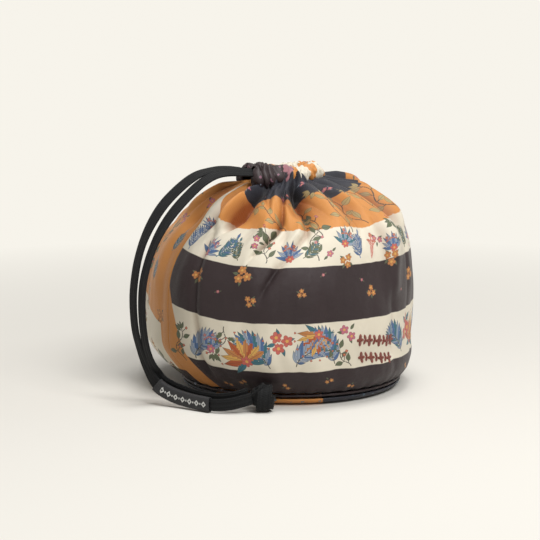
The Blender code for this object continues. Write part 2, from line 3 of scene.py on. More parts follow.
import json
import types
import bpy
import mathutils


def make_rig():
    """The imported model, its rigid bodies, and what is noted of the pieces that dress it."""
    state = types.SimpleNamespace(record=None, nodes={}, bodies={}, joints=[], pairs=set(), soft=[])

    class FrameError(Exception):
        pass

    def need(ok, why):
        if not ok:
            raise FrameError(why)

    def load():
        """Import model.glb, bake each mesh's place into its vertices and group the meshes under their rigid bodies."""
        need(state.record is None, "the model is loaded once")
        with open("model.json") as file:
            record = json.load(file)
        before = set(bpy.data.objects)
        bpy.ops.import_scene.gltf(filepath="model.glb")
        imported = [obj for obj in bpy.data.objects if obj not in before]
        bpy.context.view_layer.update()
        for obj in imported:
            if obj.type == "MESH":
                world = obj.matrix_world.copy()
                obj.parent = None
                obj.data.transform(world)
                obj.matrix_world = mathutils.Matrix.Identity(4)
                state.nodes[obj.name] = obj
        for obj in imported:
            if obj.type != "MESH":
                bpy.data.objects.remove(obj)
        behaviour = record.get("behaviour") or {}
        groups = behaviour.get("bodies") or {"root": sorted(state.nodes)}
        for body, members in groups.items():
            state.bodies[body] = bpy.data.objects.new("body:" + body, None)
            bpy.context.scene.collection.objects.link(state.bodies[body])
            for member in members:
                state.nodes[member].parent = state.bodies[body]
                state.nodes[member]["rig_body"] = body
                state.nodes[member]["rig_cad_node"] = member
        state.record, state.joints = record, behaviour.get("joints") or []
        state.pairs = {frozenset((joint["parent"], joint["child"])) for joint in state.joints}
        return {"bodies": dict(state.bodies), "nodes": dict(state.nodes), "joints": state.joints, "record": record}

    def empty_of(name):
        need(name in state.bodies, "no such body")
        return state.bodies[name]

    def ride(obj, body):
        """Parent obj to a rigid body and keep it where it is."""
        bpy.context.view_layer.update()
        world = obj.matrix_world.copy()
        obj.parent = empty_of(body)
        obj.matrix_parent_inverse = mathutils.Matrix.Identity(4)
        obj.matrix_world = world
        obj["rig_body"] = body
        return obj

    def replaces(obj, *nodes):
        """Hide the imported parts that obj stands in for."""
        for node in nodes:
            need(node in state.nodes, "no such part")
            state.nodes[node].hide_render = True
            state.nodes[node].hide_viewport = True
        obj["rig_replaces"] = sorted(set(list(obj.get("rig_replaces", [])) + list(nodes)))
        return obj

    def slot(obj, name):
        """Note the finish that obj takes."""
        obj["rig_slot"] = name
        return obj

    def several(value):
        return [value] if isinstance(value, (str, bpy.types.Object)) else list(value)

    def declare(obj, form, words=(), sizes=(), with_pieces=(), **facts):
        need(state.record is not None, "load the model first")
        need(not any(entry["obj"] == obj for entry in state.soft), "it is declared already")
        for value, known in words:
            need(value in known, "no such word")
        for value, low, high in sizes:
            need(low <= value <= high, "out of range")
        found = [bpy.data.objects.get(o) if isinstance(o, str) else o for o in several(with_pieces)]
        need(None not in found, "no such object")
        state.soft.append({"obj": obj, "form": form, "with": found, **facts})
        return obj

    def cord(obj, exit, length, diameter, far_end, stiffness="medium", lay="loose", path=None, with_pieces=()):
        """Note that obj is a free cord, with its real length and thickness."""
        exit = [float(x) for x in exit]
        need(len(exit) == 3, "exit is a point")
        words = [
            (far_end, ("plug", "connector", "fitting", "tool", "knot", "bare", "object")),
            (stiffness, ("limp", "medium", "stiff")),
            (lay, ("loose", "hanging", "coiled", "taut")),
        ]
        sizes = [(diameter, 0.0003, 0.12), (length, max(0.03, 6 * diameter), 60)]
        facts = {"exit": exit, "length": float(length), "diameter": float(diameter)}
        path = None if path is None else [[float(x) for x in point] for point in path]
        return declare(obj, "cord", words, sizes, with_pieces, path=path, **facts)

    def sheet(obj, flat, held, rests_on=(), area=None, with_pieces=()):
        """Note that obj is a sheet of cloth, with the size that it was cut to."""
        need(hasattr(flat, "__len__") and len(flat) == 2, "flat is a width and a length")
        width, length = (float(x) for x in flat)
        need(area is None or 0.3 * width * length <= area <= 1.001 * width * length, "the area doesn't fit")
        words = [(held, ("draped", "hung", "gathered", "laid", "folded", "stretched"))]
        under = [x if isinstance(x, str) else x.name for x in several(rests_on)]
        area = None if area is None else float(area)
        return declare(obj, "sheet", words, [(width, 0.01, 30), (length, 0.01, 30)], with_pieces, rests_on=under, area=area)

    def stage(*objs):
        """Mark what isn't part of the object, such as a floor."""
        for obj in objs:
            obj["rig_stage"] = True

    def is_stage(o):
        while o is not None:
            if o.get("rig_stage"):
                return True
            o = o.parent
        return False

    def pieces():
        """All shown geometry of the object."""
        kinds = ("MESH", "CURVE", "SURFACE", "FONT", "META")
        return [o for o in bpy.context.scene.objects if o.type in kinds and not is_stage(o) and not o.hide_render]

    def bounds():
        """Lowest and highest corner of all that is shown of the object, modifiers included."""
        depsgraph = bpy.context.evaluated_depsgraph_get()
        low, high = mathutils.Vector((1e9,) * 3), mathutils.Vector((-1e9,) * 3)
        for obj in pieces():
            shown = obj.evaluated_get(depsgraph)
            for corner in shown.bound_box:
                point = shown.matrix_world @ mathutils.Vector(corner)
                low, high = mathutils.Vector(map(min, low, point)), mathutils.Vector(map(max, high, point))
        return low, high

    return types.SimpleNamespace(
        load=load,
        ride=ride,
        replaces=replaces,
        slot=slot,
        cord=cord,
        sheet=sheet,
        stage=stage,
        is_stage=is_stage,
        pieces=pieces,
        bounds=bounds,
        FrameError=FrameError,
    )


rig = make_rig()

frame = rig.load()
CAD_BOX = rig.bounds()

import json
import logging
import math
from dataclasses import dataclass, field
from enum import Enum
from typing import Callable, Iterable, Optional, Sequence

import bmesh
import bpy
import numpy as np
from mathutils import Vector

logging.basicConfig(level=logging.INFO, format="%(message)s")
log = logging.getLogger("pouch")

Colour = tuple[float, float, float]

# Inks and dyes, and the colour of the painted shade in the folds, linear light.
NAVY: Colour = (0.0165, 0.0175, 0.0275)
AUBERGINE: Colour = (0.0225, 0.0120, 0.0138)
AMBER: Colour = (0.575, 0.238, 0.058)
CREAM: Colour = (0.700, 0.640, 0.520)
LINE: Colour = (0.045, 0.040, 0.028)
MOSS: Colour = (0.115, 0.135, 0.075)
TEAL: Colour = (0.045, 0.150, 0.190)
BLUE: Colour = (0.075, 0.145, 0.300)
MIST: Colour = (0.270, 0.320, 0.400)
CORAL: Colour = (0.500, 0.115, 0.090)
PINK: Colour = (0.460, 0.140, 0.190)
OCHRE: Colour = (0.470, 0.190, 0.060)
GOLD: Colour = (0.620, 0.350, 0.090)
RUST_RED: Colour = (0.400, 0.090, 0.030)
RUST: Colour = (0.260, 0.045, 0.022)
ROSE: Colour = (0.300, 0.130, 0.150)
STRAW: Colour = (0.400, 0.300, 0.130)
BARK: Colour = (0.300, 0.200, 0.060)
# Painted shade: the colour that the cloth is darkened towards in the hollows between its folds.
PAINTED_FOLD_SHADE: Colour = (0.40, 0.24, 0.17)

# The photograph's right, the way to its camera, and up.
SIDE = np.array([0.8, -0.6, 0.0])
TOWARD = np.array([-0.6, -0.8, 0.0])
UP = np.array([0.0, 0.0, 1.0])


class Side(Enum):
    """Which half of the pouch a piece belongs to."""

    FRONT = -1
    BACK = 1


# Node helpers


def math_method(operation: str, flipped: bool = False) -> Callable[..., "Wire"]:
    """Makes a method of Wire that adds one Math node.

    Args:
        operation: the node's operation.
        flipped: whether the other number comes first.

    Returns:
        The method.
    """

    def method(wire: "Wire", *others: "Wire | float") -> "Wire":
        """Adds the node and gives its output."""
        terms = (*others, wire) if flipped else (wire, *others)
        return wire.board.node("ShaderNodeMath", {"operation": operation}, dict(enumerate(terms)))

    return method


class Wire:
    """A node's output socket that takes part in arithmetic."""

    def __init__(self, board: "Board", socket: bpy.types.NodeSocket) -> None:
        """Keeps the socket and the board it sits on.

        Args:
            board: board that owns the node.
            socket: output socket to wrap.
        """
        self.board = board
        self.socket = socket

    __add__ = math_method("ADD")
    __radd__ = math_method("ADD", flipped=True)
    __sub__ = math_method("SUBTRACT")
    __rsub__ = math_method("SUBTRACT", flipped=True)
    __mul__ = math_method("MULTIPLY")
    __truediv__ = math_method("DIVIDE")
    __pow__ = math_method("POWER")
    sine = math_method("SINE")
    cosine = math_method("COSINE")
    size = math_method("ABSOLUTE")
    root = math_method("SQRT")
    most = math_method("MAXIMUM")
    least = math_method("MINIMUM")

    def output(self, index: int | str) -> "Wire":
        """Another output of the same node."""
        return Wire(self.board, self.socket.node.outputs[index])

    def clipped(self) -> "Wire":
        """Value held between 0 and 1."""
        return self.most(0.0).least(1.0)

    def step(self, soft: float) -> "Wire":
        """0 below zero and 1 above it, over a soft edge of this width."""
        return (self / soft + 0.5).clipped()


class Board:
    """The node tree of one material or of the world, built by code."""

    def __init__(self, name: str, world: Optional[bpy.types.World] = None) -> None:
        """Starts an empty tree.

        Args:
            name: the material's name.
            world: the world whose tree is built, or None for a material.
        """
        self.material = world or bpy.data.materials.new(name)
        self.material.use_nodes = True
        self.tree = self.material.node_tree
        self.tree.nodes.clear()

    def node(
        self,
        kind: str,
        settings: Optional[dict] = None,
        inputs: Optional[dict] = None,
        out: int | str | None = 0,
    ) -> Optional[Wire]:
        """Adds a node.

        Args:
            kind: the node's type.
            settings: node properties, set first.
            inputs: socket name or number to a value or a Wire.
            out: the output that is returned, or None for none.

        Returns:
            The chosen output socket.
        """
        made = self.tree.nodes.new(kind)
        for key, value in (settings or {}).items():
            setattr(made, key, value)
        for key, value in (inputs or {}).items():
            if isinstance(value, Wire):
                self.tree.links.new(value.socket, made.inputs[key])
            elif isinstance(value, tuple) and len(value) == 3 and made.inputs[key].type == "RGBA":
                made.inputs[key].default_value = (*value, 1.0)
            else:
                made.inputs[key].default_value = value
        return None if out is None else Wire(self, made.outputs[out])

    def mix(self, factor: Wire | float, low: Wire | Colour, high: Wire | Colour, mode: str = "MIX") -> Wire:
        """Mixes two colours.

        Args:
            factor: share of the second colour.
            low: colour at factor 0.
            high: colour at factor 1.
            mode: blend type.

        Returns:
            The mixed colour.
        """
        return self.node(
            "ShaderNodeMix", {"data_type": "RGBA", "blend_type": mode}, {0: factor, 6: low, 7: high}, 2
        )

    def noise(self, where: Wire, scale: float, detail: float = 2.0, roughness: float = 0.5) -> Wire:
        """Noise from 0 to 1.

        Args:
            where: coordinates.
            scale: features per unit.
            detail: octaves.
            roughness: weight of the finer octaves.

        Returns:
            The noise value.
        """
        settings = {"Vector": where, "Scale": scale, "Detail": detail, "Roughness": roughness}
        return self.node("ShaderNodeTexNoise", {}, settings)

    def place(self) -> Wire:
        """Object coordinates, in metres."""
        return self.node("ShaderNodeTexCoord", {}, {}, "Object")

    def attribute(self, name: str, output: str = "Fac") -> Wire:
        """A mesh attribute, as a number, a Vector or a Color."""
        return self.node("ShaderNodeAttribute", {"attribute_name": name}, {}, output)

    def parts(self, vector: Wire) -> tuple[Wire, Wire, Wire]:
        """The three numbers of a vector."""
        split = self.node("ShaderNodeSeparateXYZ", {}, {0: vector})
        return split, split.output(1), split.output(2)

    def flat(self) -> tuple[Wire, Wire]:
        """The two numbers of the piece's own UV map."""
        return self.parts(self.node("ShaderNodeUVMap", {"uv_map": "cloth"}))[:2]

    def spread(self, noise: Wire, low: float, high: float) -> Wire:
        """Noise, which is mostly between 0.3 and 0.7, brought between two numbers."""
        return self.node("ShaderNodeMapRange", {}, {0: noise, 1: 0.3, 2: 0.7, 3: low, 4: high})

    def shown(self) -> Wire:
        """1 for the rays that see the backdrop: straight, mirrored or through glass."""
        rays = self.node("ShaderNodeLightPath", {}, {}, "Is Camera Ray")
        return (rays + rays.output("Is Glossy Ray") + rays.output("Is Transmission Ray")).clipped()

    def finish(
        self,
        colour: Wire | Colour,
        roughness: Wire | float,
        height: Optional[Wire] = None,
        depth: float = 0.001,
        sheen: float = 0.0,
        gloss: float = 0.5,
    ) -> bpy.types.Material:
        """Ends the tree in a Principled shader.

        Args:
            colour: base colour.
            roughness: roughness.
            height: bump height from 0 to 1.
            depth: what a height of 1 is in metres.
            sheen: sheen weight.
            gloss: specular level.

        Returns:
            The finished material.
        """
        shader = self.node(
            "ShaderNodeBsdfPrincipled",
            {},
            {
                "Base Color": colour,
                "Roughness": roughness,
                "Sheen Weight": sheen,
                "Sheen Roughness": 0.45,
                "Specular IOR Level": gloss,
            },
        )
        if height is not None:
            bump = self.node("ShaderNodeBump", {}, {"Strength": 1.0, "Distance": depth, "Height": height})
            self.tree.links.new(bump.socket, shader.socket.node.inputs["Normal"])
        self.node("ShaderNodeOutputMaterial", {}, {"Surface": shader}, None)
        return self.material


# Finishes


@dataclass(frozen=True)
class Band:
    """One printed band of the cloth.

    Fields:
        start: cloth length where it starts.
        ground: its colour.
        rag: how far its edge is ragged.
        seam_lift: how far its edge rises at the left seam.
        seam_angle: angle where that rise begins.
        seam_run: angle over which it rises.
    """

    start: float
    ground: Colour
    rag: float = 0.0
    seam_lift: float = 0.0
    seam_angle: float = 3.76
    seam_run: float = 0.14


class CutPattern(Enum):
    """How the bands lie on a cut of cloth."""

    LEVEL = "bands run round the pouch"
    UPRIGHT = "bands run up the pouch"


@dataclass(frozen=True)
class PrintedSatin:
    """Satin printed with bands of colour and with small plants in several inks.

    Fields:
        name: material name.
        bands: bands in order of their start.
        pattern: direction of the bands.
        hem: height of a dark strip along the foot, or 0.
        crown: cloth length above which the cloth is navy, or 0.
        wedge: cloth length below which an amber wedge widens along the left seam, or 0.
        seam_dip: how far level bands dip at the left seam.
        seam_reach: angle from the seam over which they dip.
        bleed: width of a printed edge.
    """

    name: str
    bands: tuple[Band, ...]
    pattern: CutPattern = CutPattern.LEVEL
    hem: float = 0.0
    crown: float = 0.0
    wedge: float = 0.0
    seam_dip: float = 0.0080
    seam_reach: float = 0.80
    bleed: float = 0.0004

    def build(self) -> bpy.types.Material:
        """Makes the material."""
        board = Board(self.name)
        around, up = board.flat()
        place = board.place()
        hollow = board.attribute("hollow")
        colour = self._bands(board, around, up, place, hollow)
        colour = self._figures(board, around, up, colour)
        shade = board.spread(board.noise(place, 34.0, 3.0), 0.93, 1.05)
        grey = board.node("ShaderNodeCombineColor", {}, {0: shade, 1: shade, 2: shade})
        colour = board.mix(1.0, colour, grey, "MULTIPLY")
        # Painted shade: the cloth is darkened towards the fold shade where it lies deep below a nearby fold.
        colour = board.mix(hollow, colour, PAINTED_FOLD_SHADE, "MULTIPLY")
        east = around * SHAPE.belly_radius
        threads = (east * 9200.0 + up * 5200.0).sine() + (up * 11000.0).sine()
        slub = board.noise(board.node("ShaderNodeCombineXYZ", {}, {0: east, 1: up * 9.0}), 300.0)
        height = threads * 0.02 + slub * 0.05 + board.noise(place, 55.0, 3.0, 0.55)
        roughness = board.spread(slub, 0.42, 0.54)
        return board.finish(colour, roughness, height, 0.0011, sheen=0.05, gloss=0.34)

    def _bands(self, board: Board, around: Wire, up: Wire, place: Wire, hollow: Wire) -> Wire | Colour:
        """Grounds of the cloth: the bands, and over them the crown, the wedge and the hem."""
        wobble = board.noise(place, 90.0) - 0.5
        fine = board.noise(place, 420.0) - 0.5
        from_seam = around - math.pi
        near_seam = (1.0 - from_seam.size() / self.seam_reach).most(0.0)
        axis = up - near_seam * near_seam * self.seam_dip
        if self.pattern is CutPattern.UPRIGHT:
            slope = (up - 0.018).most(0.0) * 0.15
            swing = (up - 0.044).most(0.0).least(0.03) * 2.8
            axis = (math.pi - around) * SHAPE.belly_radius - slope - swing
        colour: Wire | Colour = self.bands[0].ground
        for band in self.bands[1:]:
            edge = axis - band.start + wobble * 0.0012 + fine * band.rag
            if band.seam_lift:
                near = ((band.seam_angle - around) / band.seam_run).clipped()
                edge = edge - near * near * band.seam_lift - hollow * 0.004
            colour = board.mix(edge.step(self.bleed), colour, band.ground)
        if self.crown:
            start = ((around - 2.55) / 0.30).clipped() * 0.030 + self.crown
            colour = board.mix((up - start + wobble * 0.002).step(self.bleed), colour, NAVY)
        if self.wedge:
            width = (self.wedge - up).most(0.0) * 3.6
            colour = board.mix((width - from_seam).step(0.006), colour, AMBER)
        if self.hem:
            colour = board.mix((self.hem - up + wobble * 0.001).step(self.bleed), colour, AUBERGINE)
        return colour

    def _figures(self, board: Board, around: Wire, up: Wire, colour: Wire) -> Wire:
        """Prints the stems, leaves and blossoms over the grounds."""
        leaf, line = self._leaves(board, around, up)
        petal, heart, rim = self._blooms(board, around, up)
        for mask, ink in (
            (self._stems(board, around, up), board.attribute("stem_ink", "Color")),
            (leaf, board.attribute("leaf_ink", "Color")),
            (line * 0.75, LINE),
            (petal, board.attribute("bloom_ink", "Color")),
            (rim * 0.6, LINE),
            (heart, GOLD),
        ):
            colour = board.mix(mask, colour, ink)
        return colour

    @staticmethod
    def _local(board: Board, around: Wire, up: Wire, name: str) -> tuple[Wire, Wire, Wire, Wire]:
        """Place measured from the face's own motif, along and across it, and its two sizes."""
        theta, rise, angle = board.parts(board.attribute(name + "_place", "Vector"))
        radius, first, second = board.parts(board.attribute(name + "_form", "Vector"))
        east = (around - theta) * radius
        north = up - rise
        cosine = angle.cosine()
        sine = angle.sine()
        return east * cosine + north * sine, north * cosine - east * sine, first, second

    def _stems(self, board: Board, around: Wire, up: Wire) -> Wire:
        """Mask of the thin stems."""
        along, across, half, width = self._local(board, around, up, "stem")
        past = (along.size() - half).most(0.0)
        return (width - (past * past + across * across).root()).step(0.00016)

    def _leaves(self, board: Board, around: Wire, up: Wire) -> tuple[Wire, Wire]:
        """Masks of the leaves and of the lines in and around them."""
        along, across, half, width = self._local(board, around, up, "leaf")
        # Depth below the nearest fold, which the material turns into painted shade in the folds.
        share = along / half
        reach = width * (1.0 - share * share) * (1.0 - share * 0.45)
        inside = reach - across.size()
        mask = inside.step(0.00016) * (half - along.size()).step(0.0001)
        outline = mask * (1.0 - (inside - 0.00022).step(0.00018))
        rib = mask * (0.00010 - across.size()).step(0.00014)
        return mask, outline.most(rib)

    def _blooms(self, board: Board, around: Wire, up: Wire) -> tuple[Wire, Wire, Wire]:
        """Masks of the blossoms, of their hearts and of their rims."""
        along, across, radius, petals = self._local(board, around, up, "bloom")
        far = (along * along + across * across).root()
        bearing = board.node("ShaderNodeMath", {"operation": "ARCTAN2"}, {0: across, 1: along})
        lobe = (bearing * petals * 0.5).cosine().size()
        inside = radius * (0.62 + lobe * 0.38) - far
        mask = inside.step(0.00016)
        heart = (radius * 0.26 - far).step(0.00016)
        rim = mask * (1.0 - (inside - 0.0002).step(0.0002))
        gaps = mask * (0.16 - lobe).step(0.12) * (far - radius * 0.25).step(0.0002)
        return mask, heart, rim.most(gaps)


@dataclass(frozen=True)
class PlainSatin:
    """Satin of dyes that follow each other along a line.

    Fields:
        name: material name.
        grounds: dyes in order.
        edges: places along the axis where the next dye starts.
        axis: direction that the edges are measured along, or None for the piece's own length.
        fleck: colour of the small flecks printed on it.
    """

    name: str
    grounds: tuple[Colour, ...]
    edges: tuple[float, ...] = ()
    axis: Optional[tuple[float, float, float]] = None
    fleck: Colour = PINK

    def build(self) -> bpy.types.Material:
        """Makes the material."""
        board = Board(self.name)
        place = board.place()
        if self.axis is None:
            along = board.flat()[0]
        else:
            measures = {0: place, 1: self.axis}
            along = board.node("ShaderNodeVectorMath", {"operation": "DOT_PRODUCT"}, measures, "Value")
        wobble = board.noise(place, 120.0) - 0.5
        span = 0.002 if self.axis else 0.012
        colour: Wire | Colour = self.grounds[0]
        for edge, ground in zip(self.edges, self.grounds[1:]):
            colour = board.mix((along - edge + wobble * span).step(0.0006), colour, ground)
        spots = board.noise(place, 260.0, 1.0)
        colour = board.mix((spots - 0.685).step(0.02), colour, self.fleck)
        sprigs = board.noise(place, 190.0, 2.0)
        colour = board.mix((0.30 - sprigs).step(0.02) * 0.7, colour, MIST)
        ripple = board.noise(place, 75.0, 3.0, 0.55)
        thread = board.noise(place, 1500.0, 1.0)
        return board.finish(colour, 0.48, ripple + thread * 0.06, 0.0010, sheen=0.05, gloss=0.34)


@dataclass(frozen=True)
class BraidedTape:
    """Matt flat braid with ribs along it and fine slanted strands on each rib."""

    name: str = "black_flat_braid"
    ribs: float = 11.0

    def build(self) -> bpy.types.Material:
        """Makes the material; the map runs from 0 to 1 across and in metres along."""
        board = Board(self.name)
        across, along = board.flat()
        place = board.place()
        rib = (across * math.pi * self.ribs).sine().size()
        slant = (along * 5200.0 + (across * math.tau * self.ribs / 2).sine() * 2.2).sine() * 0.5 + 0.5
        lint = board.noise(place, 900.0, 3.0, 0.6)
        worn = board.noise(place, 60.0, 3.0)
        # Painted highlight and shade: the rib crests and slanted strands are painted lighter, the furrows between them
        # darker.
        colour = board.mix(rib * 0.55 + slant * 0.25, (0.0024, 0.0026, 0.0031), (0.0070, 0.0073, 0.0082))
        colour = board.mix((lint - 0.62).clipped() * 1.2, colour, (0.075, 0.077, 0.085))
        colour = board.mix((worn - 0.55).clipped() * 0.5, colour, (0.040, 0.041, 0.046))
        height = rib * 0.8 + slant * 0.35 + lint * 0.3
        return board.finish(colour, 0.74, height, 0.00028, sheen=0.05, gloss=0.22)


@dataclass(frozen=True)
class WovenLabel:
    """Tight black label weave with one row of small pale woven figures.

    Fields:
        name: material name.
        pitch: from one diamond to the next.
        height: height of the label.
        row: where the row of figures starts and ends.
        hems: where the two stitched hems lie.
    """

    name: str = "black_label_weave"
    pitch: float = 0.0054
    height: float = 0.0094
    row: tuple[float, float] = (0.0045, 0.0398)
    hems: tuple[float, float] = (0.0016, 0.0424)

    def build(self) -> bpy.types.Material:
        """Makes the material; the map runs from 0 to 1 up the label and in metres along it."""
        board = Board(self.name)
        rise, along = board.flat()
        threads = (along * 16000.0).sine() + (rise * 150.0).sine()
        figure = self._figure(board, rise, along) * board.attribute("label_front")
        lint = board.noise(board.place(), 1100.0)
        colour = board.mix(lint, (0.008, 0.008, 0.0095), (0.022, 0.022, 0.025))
        colour = board.mix(figure, colour, (0.62, 0.62, 0.60))
        stitch = (along - self.hems[0]).size().least((along - self.hems[1]).size())
        seam = (0.0003 - stitch).step(0.0002)
        height = threads * 0.08 + figure * 0.5 - seam * 0.8 + lint * 0.2
        return board.finish(colour, 0.62, height, 0.0003, sheen=0.08, gloss=0.4)

    def _figure(self, board: Board, rise: Wire, along: Wire) -> Wire:
        """Mask of open diamonds with a dot between each two."""
        half = self.pitch / 2
        cell = board.node("ShaderNodeMath", {"operation": "PINGPONG"}, {0: along, 1: half})
        tall = (rise - 0.5).size() * self.height
        diamond = (0.0018 - cell - tall * 0.90).step(0.00012)
        opening = (0.0007 - cell - tall * 0.90).step(0.00012)
        dot = (cell - half + 0.00045).step(0.0001) * (0.0006 - tall).step(0.0001)
        figure = (diamond * (1.0 - opening)).most(dot)
        return figure * (along - self.row[0]).step(0.0001) * (self.row[1] - along).step(0.0001)


@dataclass(frozen=True)
class SatinStitch:
    """Embroidery thread laid side by side across each stitch field."""

    name: str = "rust_satin_stitch"

    def build(self) -> bpy.types.Material:
        """Makes the material; the map runs across and along each stitch field, in metres."""
        board = Board(self.name)
        across, along = board.flat()
        strand = ((along * 11500.0 + across * 2500.0).sine() * 0.5 + 0.5) ** 0.6
        tone = board.noise(board.place(), 260.0)
        # Painted shade and highlight: the grooves between the laid threads are painted dark, their crests lighter
        # rust.
        colour = board.mix(strand, (0.075, 0.012, 0.008), RUST)
        colour = board.mix((tone - 0.5).clipped() * 1.2, colour, (0.42, 0.10, 0.045))
        return board.finish(colour, 0.42, strand + tone * 0.2, 0.0002, sheen=0.1)


# Shape of the body


def ease(start: float, end: float, value: np.ndarray) -> np.ndarray:
    """Smooth step from 0 at start to 1 at end."""
    share = np.clip((value - start) / (end - start), 0.0, 1.0)
    return share * share * (3.0 - 2.0 * share)


def wrap(angle: np.ndarray) -> np.ndarray:
    """Angles brought between minus pi and pi."""
    return (angle + math.pi) % math.tau - math.pi


def soft_noise(first: np.ndarray, second: np.ndarray | float, seed: int) -> np.ndarray:
    """Smooth seeded noise from about -1 to 1 on two coordinates whose lattice step is 1."""
    grid = np.random.default_rng(seed).uniform(-1.0, 1.0, (64, 64))
    column, row = np.floor(first).astype(int), np.floor(second).astype(int)
    a, b = first - column, second - row
    a, b = a * a * (3 - 2 * a), b * b * (3 - 2 * b)
    left, right, under, over = column % 64, (column + 1) % 64, row % 64, (row + 1) % 64
    low = grid[left, under] * (1 - a) + grid[right, under] * a
    high = grid[left, over] * (1 - a) + grid[right, over] * a
    return low * (1 - b) + high * b


@dataclass(frozen=True)
class Fold:
    """One fold of the gathers: angles in degrees, heights, lift and width in metres."""

    top_angle: float
    foot_angle: float
    foot_height: float
    lift: float
    width: float
    crispness: float


@dataclass(frozen=True)
class BodyShape:
    """The slumped and gathered surface that both body cloths lie on: the solids' own, with deeper folds."""

    base_radius: float = 0.0725
    belly_radius: float = 0.0880
    belly_height: float = 0.0500
    foot: float = 0.0082
    top: float = 0.1370
    neck_radius: float = 0.0200
    belly_lean: float = 0.0082
    lean_angle: float = math.radians(143)
    mouth_centre: float = -0.0070
    mouth_half_length: float = 0.0230
    mouth_half_width: float = 0.0115
    fold_run: float = 0.0160
    fold_fade: float = 0.0065
    seam_calm: float = math.radians(9)
    shoulder_bulge: float = 0.0056
    shoulder_angle: float = math.radians(8)
    collar_angle: float = math.radians(256)
    collar_half: float = math.radians(28)
    collar_out: float = 0.0062
    collar_rise: float = 0.0060
    neck_share: float = 0.985
    shoulder_power: float = 0.65
    foot_power: float = 0.85
    folds: tuple[Fold, ...] = (
        Fold(222, 190, 0.104, 0.0046, 0.0048, 1.0),
        Fold(196, 184, 0.104, -0.0060, 0.0068, 1.0),
        Fold(233, 203, 0.107, -0.0054, 0.0072, 1.0),
        Fold(243, 221, 0.106, 0.0038, 0.0060, 1.0),
        Fold(262, 224, 0.062, -0.0032, 0.0030, 0.6),
        Fold(254, 237, 0.112, 0.0036, 0.0040, 1.0),
        Fold(266, 247, 0.112, -0.0062, 0.0042, 0.8),
        Fold(278, 260, 0.104, 0.0044, 0.0070, 1.0),
        Fold(292, 276, 0.106, -0.0026, 0.0040, 0.8),
        Fold(306, 289, 0.060, 0.0030, 0.0080, 1.0),
        Fold(322, 303, 0.100, -0.0052, 0.0060, 0.8),
        Fold(334, 316, 0.098, 0.0044, 0.0070, 1.0),
        Fold(348, 336, 0.100, -0.0040, 0.0060, 1.0),
        Fold(198, 197, 0.048, 0.0020, 0.0090, 1.0),
    )
    creases: tuple[Fold, ...] = (
        Fold(223, 190, 0.099, 0.0030, 0.0022, 0.8),
        Fold(230, 197, 0.100, -0.0046, 0.0032, 1.0),
        Fold(215, 182, 0.099, -0.0048, 0.0044, 1.0),
        Fold(255, 217, 0.088, -0.0050, 0.0015, 0.7),
        Fold(250, 212, 0.092, 0.0022, 0.0034, 1.0),
        Fold(243, 226, 0.112, -0.0036, 0.0022, 0.8),
        Fold(269, 232, 0.096, 0.0026, 0.0030, 0.9),
        Fold(260, 247, 0.112, -0.0050, 0.0030, 0.9),
        Fold(287, 274, 0.115, -0.0042, 0.0026, 0.8),
        Fold(300, 284, 0.106, 0.0030, 0.0036, 0.9),
        Fold(318, 300, 0.104, -0.0032, 0.0026, 0.8),
        Fold(341, 322, 0.110, -0.0024, 0.0026, 0.8),
        Fold(193, 197, 0.012, -0.0030, 0.0034, 0.7),
        Fold(286, 289, 0.020, -0.0014, 0.0040, 0.8),
        Fold(238, 229, 0.074, -0.0012, 0.0022, 0.7),
        Fold(311, 305, 0.028, -0.0014, 0.0034, 0.8),
        Fold(247, 243, 0.090, -0.0014, 0.0022, 0.7),
        Fold(283, 272, 0.096, -0.0014, 0.0020, 0.7),
        Fold(171, 174, 0.012, -0.0016, 0.0056, 1.0),
        Fold(150, 149, 0.030, -0.0012, 0.0056, 1.0),
        Fold(120, 124, 0.040, -0.0014, 0.0034, 0.8),
        Fold(76, 80, 0.024, -0.0014, 0.0036, 0.8),
        Fold(38, 34, 0.034, -0.0016, 0.0034, 0.8),
    )

    def radius(self, height: np.ndarray) -> np.ndarray:
        """Radius of the plain turned body."""
        low = np.clip((self.belly_height - height) / (self.belly_height - self.foot), 0, 1)
        under = self.base_radius + (self.belly_radius - self.base_radius) * (1 - low**3) ** self.foot_power
        share = np.clip((height - self.belly_height) / (self.top - self.belly_height), 0, None)
        crown = (1 - np.minimum(share * self.neck_share, 1) ** 3) ** self.shoulder_power
        end = (1 - self.neck_share**3) ** self.shoulder_power
        over = self.neck_radius + (self.belly_radius - self.neck_radius) * (crown - end) / (1 - end)
        return np.where(height < self.belly_height, under, over)

    def slope(self, height: np.ndarray) -> np.ndarray:
        """How far the outward direction is tipped upwards."""
        step = 0.001
        return np.arctan2(self.radius(height - step) - self.radius(height + step), 2 * step)

    def scale(self) -> tuple[np.ndarray, np.ndarray]:
        """Heights and the lengths of cloth from the foot up to them."""
        heights = np.linspace(self.foot, self.top, 1600)
        steps = np.hypot(np.diff(self.radius(heights)), np.diff(heights))
        return heights, np.concatenate([[0.0], np.cumsum(steps)])

    def height_at(self, length: np.ndarray) -> np.ndarray:
        """Height on the plain body where this much cloth lies below."""
        heights, lengths = self.scale()
        return np.interp(length, lengths, heights)

    def length_at(self, height: float) -> float:
        """Cloth from the foot up to this height."""
        heights, lengths = self.scale()
        return float(np.interp(height, heights, lengths))

    def _sum(
        self, folds: Iterable[Fold], angle: np.ndarray, height: np.ndarray, radius: np.ndarray
    ) -> np.ndarray:
        """Adds the lifts of these folds.

        Args:
            folds: the folds.
            angle: angles from +X, radians.
            height: heights on the plain body.
            radius: the plain body's radius there.

        Returns:
            How far they lift the cloth, for each angle and height.
        """
        total = np.zeros_like(angle)
        for fold in folds:
            share = np.clip((height - fold.foot_height) / (self.top - fold.foot_height), 0, None)
            rise = ease(fold.foot_height, fold.foot_height + self.fold_run, height)
            centre = np.radians(fold.foot_angle + (fold.top_angle - fold.foot_angle) * share**1.6)
            across = np.abs(wrap(angle - centre)) * radius / fold.width
            total += fold.lift * rise * np.exp(-np.minimum(across, 6.0) ** (2.0 * fold.crispness))
        return total

